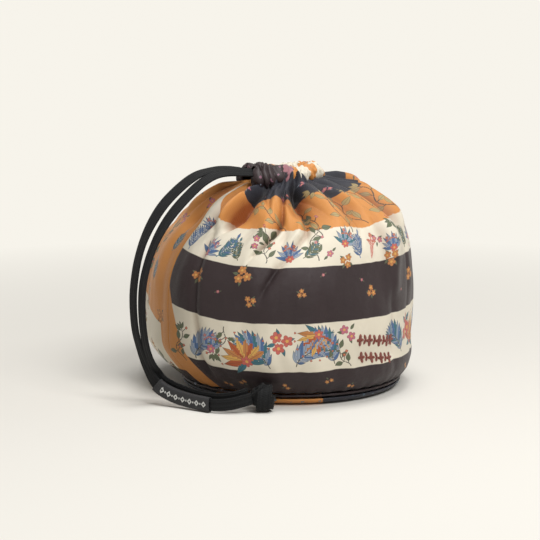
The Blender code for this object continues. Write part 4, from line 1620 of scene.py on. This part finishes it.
@dataclass
class BaseCloth:
    """Round base cut, its edge turned up to the seam, and the rolled seam above it."""

    flat_radius: float = 0.0620
    edge_radius: float = 0.0725
    rise: float = 0.0042
    thickness: float = 0.0009
    roll: float = 0.0009
    seam_gap: float = 0.0013
    columns: int = 220

    def build(self) -> bpy.types.Object:
        """Spins the base's profile and puckers its edge."""
        chain_points = [(0.0, 0.0)]
        for share in np.linspace(0.12, 1.0, 9):
            chain_points.append((self.flat_radius * float(share), 0.0))
        for share in np.linspace(0.1, 1.0, 10):
            turn = float(share) * math.pi / 2
            reach = (self.edge_radius - self.flat_radius) * math.sin(turn)
            chain_points.append((self.flat_radius + reach, self.rise * (1 - math.cos(turn))))
        mesh = bmesh.new()
        chain = [mesh.verts.new((x, 0.0, z)) for x, z in chain_points]
        edges = [mesh.edges.new(pair) for pair in zip(chain, chain[1:])]
        bmesh.ops.spin(
            mesh,
            geom=chain + edges,
            cent=(0, 0, 0),
            axis=UP,
            angle=math.tau,
            steps=self.columns,
            use_merge=True,
        )
        bmesh.ops.remove_doubles(mesh, verts=mesh.verts, dist=1e-6)
        for vert in mesh.verts:
            far = math.hypot(vert.co.x, vert.co.y)
            turn = math.atan2(vert.co.y, vert.co.x)
            out = max(0.0, (far - self.flat_radius) / (self.edge_radius - self.flat_radius))
            pucker = 1.0 - 0.004 * out * (0.5 + 0.5 * math.sin(turn * 52 + 2 * math.sin(turn * 7)))
            vert.co.x *= pucker
            vert.co.y *= pucker
        bmesh.ops.recalc_face_normals(mesh, faces=mesh.faces)
        if sum(face.normal.z for face in mesh.faces) > 0:
            bmesh.ops.reverse_faces(mesh, faces=mesh.faces)
        dyes, edges = (NAVY, AMBER, NAVY), (-0.048, 0.0195)
        finish = PlainSatin("base_printed_satin", dyes, edges, axis=tuple(SIDE), fleck=(0.10, 0.16, 0.20))
        data = settle(mesh, "base_cloth")
        thing = piece("base_cloth", data, finish.build(), "base_satin", "base_panel")
        wall(thing, self.thickness)
        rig.sheet(
            thing,
            flat=(2 * self.edge_radius, 2 * self.edge_radius),
            held="stretched",
            area=math.pi * self.edge_radius**2,
        )
        return thing

    def seam(self) -> bpy.types.Object:
        """Rolled seam between the base and the body, pinched by its stitches."""
        count = 440
        turn = np.linspace(0, math.tau, count, endpoint=False)
        radius = self.edge_radius - self.roll / 2
        height = self.rise + self.seam_gap + self.roll
        line = np.stack([radius * np.cos(turn), radius * np.sin(turn), np.full(count, height)], axis=1)
        wide = np.stack([np.cos(turn), np.sin(turn), np.zeros(count)], axis=1)
        ring = np.linspace(0, math.tau, 12, endpoint=False)
        circle = np.stack([np.cos(ring), np.sin(ring)], axis=1) * self.roll
        pinch = 1.0 - 0.22 * np.abs(np.sin(turn * 88)) ** 6
        mesh = sweep("base_seam", line, wide, circle[None] * pinch[:, None, None], closed=True)
        finish = PlainSatin("seam_dark_satin", (AUBERGINE,), fleck=(0.09, 0.06, 0.06))
        return piece("base_seam", mesh, finish.build(), "dark_satin", "base_piping")


@dataclass
class CasingCloth:
    """Scrunched tunnel along the top of one body cloth.

    Fields:
        side: front or back.
        radius: plain radius of the tunnel.
        pleats: pleats along it.
        spout_end: where the tape leaves it, along x.
        spout_half: how far its open end stands from the pouch's middle.
        straight: share of its length that the open end takes.
        clearance: height of its middle line above the body's top.
        run: cloth length that its dyes are measured along.
        steps: rings along it.
        around: points round it.
    """

    side: Side
    radius: float = 0.0050
    pleats: int = 15
    spout_end: float = -0.0350
    spout_half: float = 0.0056
    straight: float = 0.12
    clearance: float = 0.0051
    run: float = 0.0575
    steps: int = 260
    around: int = 40

    def line(self) -> np.ndarray:
        """Middle line from the open end at the spout to the far side seam."""
        front = self.side is Side.FRONT
        share = np.linspace(0, 1, self.steps)
        start = self.spout_end + (0.0012 if front else 0.0040)
        turn = math.pi * np.clip((share - self.straight) / (1 - self.straight), 0, 1)
        half, centre, wide = SHAPE.mouth_half_length, SHAPE.mouth_centre, SHAPE.mouth_half_width
        near = start + (centre - half - start) * np.minimum(share / self.straight, 1)
        x = np.where(share < self.straight, near, centre - half * np.cos(turn))
        early = self.spout_half + (wide - self.spout_half) * np.sin(turn)
        y = np.where(turn < math.pi / 2, early, wide * np.sin(turn))
        sag = 0.0010 * ease(0.42, 0.62, share) if front else 0.0018 * ease(0.10, 0.35, share)
        z = SHAPE.top + self.clearance + 0.0006 * np.sin(share * 9) - sag
        return np.stack([x, self.side.value * y, z], axis=1)

    def _section(self) -> np.ndarray:
        """The pleated section at each place along the line: ridges, tufts, crumples and a skirt."""
        front = self.side is Side.FRONT
        seed = 3 if front else 7
        share = np.linspace(0, 1, self.steps)[:, None]
        turn = np.linspace(0, math.tau, self.around, endpoint=False)[None]
        drift = soft_noise(share * 6.0 + 1, 1.0, seed) * 1.1
        slant = (1.15 - 0.7 * ease(0.2, 0.5, share)) * np.sin(turn + 0.4)
        slant = slant + 0.30 * soft_noise(share * 9, turn * 0.6, seed + 1)
        ridge = np.abs(np.sin(math.pi * (share * self.pleats + drift + slant))) ** 0.55
        tuft = soft_noise(share * 22, turn * 1.2 + 3, seed + 4)
        crumple = soft_noise(share * 60, turn * 2.6 + 7, seed + 9) * ease(0.35, 0.55, share)
        reach = self.radius * (0.80 + 0.26 * ridge + 0.07 * tuft + 0.13 * crumple)
        if front:
            taper = 0.95 + 0.25 * ease(0.0, 0.06, share) - 0.20 * ease(0.15, 0.35, share)
            taper = taper - 0.10 * ease(0.42, 0.62, share)
        else:
            taper = 0.66 + 0.34 * ease(0.02, 0.20, share) - 0.08 * ease(0.18, 0.35, share)
        skirt_turn = -self.side.value * rad(150)
        skirt = np.clip(np.cos(turn - skirt_turn), 0, 1) ** 2 * ease(0.06, 0.16, share)
        fullness = 1.10 - 0.65 * ease(0.30, 0.60, share) + 0.80 * ease(0.72, 0.95, share)
        reach = reach * taper * (1.0 + fullness * skirt)
        return np.stack([np.cos(turn) * reach, np.sin(turn) * reach * 0.96], axis=-1)

    def _satin(self) -> tuple[PlainSatin, str, str]:
        """The tunnel's satin, its material slot and its CAD node."""
        if self.side is Side.FRONT:
            name, slot, node = "dark_casing_satin", "dark_satin", "front_casing"
            grounds = (AUBERGINE, ROSE, AMBER, CREAM, AMBER, CREAM, AMBER)
            shares, fleck = (0.34, 0.42, 0.50, 0.64, 0.76, 0.90), (0.20, 0.09, 0.13)
        else:
            name, slot, node = "pale_casing_satin", "patterned_satin", "back_casing"
            grounds = (AUBERGINE, CREAM, AMBER, CREAM, AMBER)
            shares, fleck = (0.16, 0.34, 0.52, 0.78), (0.10, 0.05, 0.06)
        edges = tuple(share * self.run for share in shares)
        return PlainSatin(name, grounds, edges, fleck=fleck), slot, node

    def dress(self) -> bpy.types.Object:
        """Sweeps the tunnel, turns its map to run along it and gives it its satin."""
        name = self.side.name.lower() + "_casing_cloth"
        mesh = sweep(name, self.line(), upright(self.steps), self._section(), caps=False)
        layer = mesh.uv_layers["cloth"].data
        write(layer, "uv", read(layer, "uv", 2)[:, ::-1])
        finish, slot, node = self._satin()
        thing = piece(name, mesh, finish.build(), slot, node)
        wall(thing, 0.0005)
        return thing


# The strands' middle lines, from the casings to the knot.
OUTER_ROUTE = (
    (-0.0357, 0.0056, 0.1425), (-0.0440, 0.0051, 0.1438), (-0.0540, 0.0044, 0.1448),
    (-0.0640, 0.0039, 0.1444), (-0.0720, 0.0037, 0.1428), (-0.0800, 0.0036, 0.1392),
    (-0.0895, 0.0036, 0.1330), (-0.0980, 0.0036, 0.1260), (-0.1050, 0.0036, 0.1180),
    (-0.1110, 0.0036, 0.1090), (-0.1158, 0.0036, 0.0990), (-0.1196, 0.0036, 0.0860),
    (-0.1218, 0.0036, 0.0690), (-0.1208, 0.0036, 0.0500), (-0.1172, 0.0034, 0.0355),
    (-0.1135, 0.0012, 0.0236), (-0.1104, -0.0045, 0.0138), (-0.1060, -0.0125, 0.0086),
    (-0.1018, -0.0224, 0.0062), (-0.0981, -0.0331, 0.0053), (-0.0938, -0.0440, 0.0051),
    (-0.0870, -0.0518, 0.0062), (-0.0800, -0.0558, 0.0080), (-0.0748, -0.0573, 0.0090),
)
INNER_ROUTE = (
    (-0.0357, -0.0056, 0.1425), (-0.0450, -0.0050, 0.1434), (-0.0560, -0.0042, 0.1435),
    (-0.0660, -0.0038, 0.1418), (-0.0750, -0.0036, 0.1378), (-0.0830, -0.0036, 0.1322),
    (-0.0905, -0.0036, 0.1262), (-0.0980, -0.0036, 0.1192), (-0.1045, -0.0036, 0.1115),
    (-0.1100, -0.0036, 0.1030), (-0.1155, -0.0036, 0.0910), (-0.1194, -0.0036, 0.0760),
    (-0.1200, -0.0036, 0.0580), (-0.1178, -0.0038, 0.0400), (-0.1130, -0.0037, 0.0262),
    (-0.1066, -0.0032, 0.0164), (-0.1014, -0.0096, 0.0116), (-0.0971, -0.0207, 0.0090),
    (-0.0933, -0.0315, 0.0078), (-0.0888, -0.0418, 0.0078), (-0.0838, -0.0488, 0.0092),
    (-0.0790, -0.0526, 0.0108), (-0.0752, -0.0543, 0.0120),
)


@dataclass
class DrawCord:
    """The flat braided tape: two free strands, the held stretch, the tab and the knot."""

    width: float = 0.0075
    thickness: float = 0.0017
    steps: int = 300
    tab_start: float = 0.735
    tab_end: float = 0.900
    tab_height: float = 0.0092
    tab_depth: float = 0.0040
    knot_centre: tuple[float, float, float] = (-0.0669, -0.0586, 0.0088)
    around: int = 56
    tip: float = 0.40
    braid: Optional[bpy.types.Material] = None

    def __post_init__(self) -> None:
        """Makes the one braid that all stretches of the tape share."""
        self.braid = BraidedTape().build()

    def _wide(self, line: np.ndarray) -> np.ndarray:
        """Direction of the tape's width: level in the arc, upright along the floor."""
        on_edge = 1.0 - ease(0.008, 0.040, line[:, 2])[:, None]
        level = np.array([[0.0, 1.0, 0.0]]) * (1 - on_edge) - UP * on_edge
        near = 1.0 + 1.1 * ease(-0.066, -0.042, line[:, 0])
        tipped = (self.tip * near * ease(0.095, 0.128, line[:, 2]))[:, None]
        return level * (1 - tipped) + np.array([[-0.59, 0.56, 0.59]]) * tipped

    def _tape(self, share: float = 1.0) -> np.ndarray:
        """Section of the tape, or of this share of its width."""
        return flat_section(self.width * share, self.thickness, self.around, 9, 0.00016)

    def strand(
        self, name: str, route: Sequence[Sequence[float]], node: str
    ) -> tuple[bpy.types.Object, np.ndarray]:
        """One free strand, swept as a flat tape along its route."""
        line = smooth_route(route, self.steps)
        mesh = sweep(name, line, self._wide(line), self._tape())
        return piece(name, mesh, self.braid, "black_braid", node), line

    def held(self) -> bpy.types.Object:
        """The stretch inside both tunnels, from one spout end round to the other."""
        front = CasingCloth(Side.FRONT, steps=80).line()
        back = CasingCloth(Side.BACK, steps=80).line()[::-1]
        line = np.vstack([INNER_ROUTE[:1], front, back[1:], OUTER_ROUTE[:1]])
        mesh = sweep("tape_in_tunnels", line, upright(len(line)), self._tape(0.64))
        return piece("tape_in_tunnels", mesh, self.braid, "black_braid", "drawcord_in_casing")

    def tab(self) -> bpy.types.Object:
        """Woven label folded round the outer strand, standing on edge."""
        fine = smooth_route(OUTER_ROUTE, 600)
        start, end = (int(share * 599) for share in (self.tab_start, self.tab_end))
        line = smooth_route(fine[start : end + 1 : 4], 90)
        section = flat_section(self.tab_height, self.tab_depth, 48)
        mesh = sweep("woven_tab", line, upright(len(line)), section, caps=False)
        mark(mesh, "label_front", read(mesh.polygons, "normal") @ (-0.9, -0.42, 0.0) > 0.2)
        layer = mesh.uv_layers["cloth"].data
        flat = read(layer, "uv", 2)
        height = read(mesh.vertices, "co")[corners_of(mesh), 2]
        middle = np.interp(flat[:, 1], np.linspace(0, lengths_along(line)[-1], len(line)), line[:, 2])
        flat[:, 0] = (height - middle) / self.tab_height + 0.5
        write(layer, "uv", flat)
        thing = piece("woven_tab", mesh, WovenLabel().build(), "woven_tab", "cord_tab")
        wall(thing, 0.0004)
        return thing

    def _wraps(self) -> list[tuple[np.ndarray, np.ndarray, float, float]]:
        """The knot's wraps: middle line, direction of the width, width and thickness."""
        centre = np.array(self.knot_centre)
        turn = np.linspace(0, math.tau, 96, endpoint=False)[:, None]
        cosine, sine = np.cos(turn), np.sin(turn)
        standing = (
            centre
            + SIDE * (0.0006 + 0.0008 * sine)
            + TOWARD * squared(cosine, 0.8) * 0.0058
            + UP * (squared(sine, 0.8) * 0.0072 - 0.0002)
        )
        level = (
            centre
            + SIDE * squared(cosine, 0.75) * 0.0062
            + TOWARD * squared(sine, 0.85) * 0.0040
            + UP * (0.0006 * np.sin(2 * turn) - 0.0022 * cosine - 0.0008)
        )
        over = (
            centre
            + SIDE * (squared(cosine, 0.8) * 0.0042 - 0.0026)
            + TOWARD * sine * 0.0034
            + UP * (squared(cosine, 0.8) * 0.0036 + 0.0034)
        )
        return [
            (standing, SIDE + UP * 0.10, 0.0088, 0.0021),
            (level, UP + SIDE * 0.15, 0.0088, 0.0021),
            (over, unit(UP * 0.7 - SIDE * 0.7 + TOWARD * 0.5), 0.0066, 0.0019),
        ]

    def _core(self) -> bpy.types.Mesh:
        """Tight lump of tape inside the wraps."""
        centre = np.array(self.knot_centre)
        core = bmesh.new()
        bmesh.ops.create_icosphere(core, subdivisions=3, radius=1.0)
        for vert in core.verts:
            x, y, z = vert.co
            vert.co = Vector(centre + SIDE * x * 0.0056 + TOWARD * y * 0.0046 + UP * z * 0.0070)
        layer = core.loops.layers.uv.new("cloth")
        for face in core.faces:
            for loop in face.loops:
                loop[layer].uv = (loop.vert.co.x * 60, loop.vert.co.z)
        return settle(core, "core")

    def knot(self) -> bpy.types.Object:
        """The knot: tape wound upright over a tape wound level, round a tight core."""
        bits = [self._core()]
        for number, (line, wide, width, thickness) in enumerate(self._wraps()):
            section = flat_section(width, thickness, 44, 9, 0.00018)
            wide = np.tile(wide, (len(line), 1))
            bits.append(sweep(f"knot_turn_{number}", line, wide, section, closed=True))
        made = bmesh.new()
        for bit in bits:
            made.from_mesh(bit)
            bpy.data.meshes.remove(bit)
        lowest = min(vert.co.z for vert in made.verts)
        bmesh.ops.translate(made, vec=(0, 0, 0.0002 - lowest), verts=made.verts)
        return piece("tape_knot", settle(made, "tape_knot"), self.braid, "black_braid", "cord_knot")

    def dress(self) -> None:
        """Builds the tape's pieces and says what each free strand is."""
        outer, outer_line = self.strand("outer_strand", OUTER_ROUTE, "drawcord_back_strand")
        inner, inner_line = self.strand("inner_strand", INNER_ROUTE, "drawcord_front_strand")
        self.held()
        tab, knot = self.tab(), self.knot()
        for thing, line, pieces in ((outer, outer_line, [tab, knot]), (inner, inner_line, [knot])):
            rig.cord(
                thing,
                exit=line[0],
                length=round(float(lengths_along(line)[-1]), 3),
                diameter=self.width,
                far_end="knot",
                stiffness="limp",
                path=[tuple(p) for p in line[::3]] + [tuple(line[-1])],
                with_pieces=pieces,
            )


@dataclass
class SprigEmbroidery:
    """Two sloping rows of small sprigs in rust satin stitch on the front's lower pale band.

    Fields:
        rows: heights of a row's two ends, their angles in degrees, and its number of sprigs.
        blades: turn, length, width and distance from the middle of a sprig's four blades.
        raised: how high the stitches stand.
    """

    rows: tuple[tuple[float, float, float, float, int], ...] = (
        (0.0428, 0.0373, 265.5, 291.5, 5),
        (0.0312, 0.0266, 266.5, 288.0, 4),
    )
    blades: tuple[tuple[float, float, float, float], ...] = (
        (math.pi / 2, 0.0041, 0.0022, 0.0019),
        (-math.pi / 2, 0.0041, 0.0022, 0.0019),
        (0.0, 0.0030, 0.0020, 0.0014),
        (math.pi, 0.0030, 0.0020, 0.0014),
    )
    raised: float = 0.0008

    def build(self) -> bpy.types.Object:
        """Lays each stitched blade on the cloth as a small raised pad."""
        made = bmesh.new()
        for high, low, first, last, count in self.rows:
            pitch = rad(last - first) / count
            for step in range(count):
                theta = rad(first) + pitch * (step + 0.5)
                rise = SHAPE.length_at(high + (low - high) * (step + 0.5) / count)
                for blade in self.blades:
                    self._pad(made, theta, rise, *blade)
                if step == count - 1:
                    continue
                for turn in (0.42, -0.42):
                    link = math.pi / 2 + turn, 0.0042, 0.0018, 0.0
                    self._pad(made, theta + pitch / 2, rise + math.copysign(0.0013, turn), *link)
        mesh = settle(made, "embroidered_sprigs")
        return piece("embroidered_sprigs", mesh, SatinStitch().build(), "striped_satin")

    def _pad(
        self,
        made: bmesh.types.BMesh,
        theta: float,
        rise: float,
        turn: float,
        length: float,
        width: float,
        start: float,
    ) -> None:
        """Adds one leaf-shaped field of stitches.

        Args:
            made: what it is added to.
            theta: angle of the sprig's middle.
            rise: cloth length below the sprig's middle.
            turn: the blade's direction on the cloth.
            length: its length.
            width: its width.
            start: distance of its middle from the sprig's middle.
        """
        mesh = grid_mesh("pad", 14, 8)
        shares = read(mesh.vertices, "co")
        along = (shares[:, 0] - 0.5) * length + start
        reach = width / 2 * (1 - (2 * shares[:, 0] - 1) ** 2) ** 0.6 + 0.00012
        side = 2 * shares[:, 1] - 1
        across = side * reach
        east = along * math.cos(turn) - across * math.sin(turn)
        north = along * math.sin(turn) + across * math.cos(turn)
        angle, up = theta + east / SHAPE.belly_radius, rise + north
        base = SHAPE.drape(angle, SHAPE.height_at(up))
        base[:, 1] -= 0.00015
        height = self.raised * np.sqrt(np.clip(1 - side**2, 0, 1)) * np.minimum(1, reach / 0.0008) - 0.0001
        set_map(mesh, np.stack([across, along], axis=1))
        place_vertices(mesh, base + self._outward(angle, up) * height[:, None])
        made.from_mesh(mesh)
        bpy.data.meshes.remove(mesh)

    @staticmethod
    def _outward(angle: np.ndarray, up: np.ndarray) -> np.ndarray:
        """Outward direction of the cloth at these places."""
        step = 0.0006
        turn, height = step / SHAPE.belly_radius, SHAPE.height_at(up)
        east = SHAPE.drape(angle + turn, height) - SHAPE.drape(angle - turn, height)
        over, under = (SHAPE.drape(angle, SHAPE.height_at(up + way)) for way in (step, -step))
        return unit(np.cross(east, over - under))


@dataclass
class Studio:
    """Pale floor, soft light and the camera at the photograph's angle."""

    distance: float = 1.265
    height: float = 0.283
    shift_left: float = 0.0141
    tilt: float = math.radians(80.66)
    yaw: float = math.radians(-36.87)
    lens: float = 129.45
    backdrop: Colour = (0.931, 0.902, 0.830)

    def camera(self) -> None:
        """Sets the camera."""
        data = bpy.data.cameras.new("camera")
        data.lens = self.lens
        data.sensor_width = 36.0
        data.clip_start = 0.01
        thing = bpy.data.objects.new("camera", data)
        right = Vector((math.cos(self.yaw), math.sin(self.yaw), 0.0))
        toward = Vector((math.sin(self.yaw), -math.cos(self.yaw), 0.0))
        thing.location = toward * self.distance - right * self.shift_left + Vector((0, 0, self.height))
        thing.rotation_euler = (self.tilt, 0.0, self.yaw)
        bpy.context.scene.collection.objects.link(thing)
        bpy.context.scene.camera = thing

    def floor(self) -> None:
        """Plain pale floor that runs into the backdrop."""
        grid = bmesh.new()
        bmesh.ops.create_grid(grid, x_segments=2, y_segments=2, size=6.0)
        data = settle(grid, "floor")
        thing = bpy.data.objects.new("floor", data)
        thing.location = (0, 0, -0.0001)
        board = Board("pale_floor")
        place = board.place()
        far = board.node("ShaderNodeVectorMath", {"operation": "LENGTH"}, {0: place}, "Value")
        away = ((far - 0.20) / 0.45).clipped()
        diffuse = board.node("ShaderNodeBsdfDiffuse", {}, {"Color": (0.745, 0.72, 0.665)})
        glow = board.node("ShaderNodeEmission", {}, {"Color": self.backdrop, "Strength": 1.0})
        shader = board.node("ShaderNodeMixShader", {}, {0: away * board.shown(), 1: diffuse, 2: glow})
        board.node("ShaderNodeOutputMaterial", {}, {"Surface": shader}, None)
        data.materials.append(board.material)
        bpy.context.scene.collection.objects.link(thing)
        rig.stage(thing)

    def light(self) -> None:
        """Large soft lamps and an even world."""
        world = bpy.data.worlds.new("studio")
        bpy.context.scene.world = world
        board = Board("studio", world)
        even = board.node("ShaderNodeBackground", {}, {"Color": (1.0, 0.985, 0.96), "Strength": 0.26})
        seen = board.node("ShaderNodeBackground", {}, {"Color": self.backdrop, "Strength": 1.0})
        both = board.node("ShaderNodeMixShader", {}, {0: board.shown(), 1: even, 2: seen})
        board.node("ShaderNodeOutputWorld", {}, {"Surface": both}, None)
        for name, spot, size, power in (
            ("key", (-0.05, -1.15, 1.32), 0.7, 19.5),
            ("top", (0.00, -0.20, 1.6), 0.6, 12.5),
            ("fill", (1.2, -0.6, 0.5), 1.0, 0.3),
        ):
            data = bpy.data.lights.new(name, "AREA")
            data.size = size
            data.energy = power
            thing = bpy.data.objects.new(name, data)
            thing.location = spot
            aim = Vector((0, 0, 0.07)) - Vector(spot)
            thing.rotation_euler = aim.to_track_quat("-Z", "Y").to_euler()
            bpy.context.scene.collection.objects.link(thing)

    def set_up(self) -> None:
        """Builds all of the studio."""
        self.camera()
        self.floor()
        self.light()
        bpy.context.scene.view_settings.view_transform = "Standard"


def main() -> None:
    """Builds the pouch piece by piece."""
    Studio().set_up()
    DrawCord().dress()
    base = BaseCloth()
    base.build()
    base.seam()
    for side in Side:
        BodyCloth(side).dress()
        CasingCloth(side).dress()
    SprigEmbroidery().build()
    sizes = {"cad": [list(c) for c in CAD_BOX], "visual": [list(c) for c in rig.bounds()]}
    with open("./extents.json", "w") as out:
        json.dump(sizes, out)
    log.info("boxes %s", sizes)


if __name__ == "__main__":
    main()
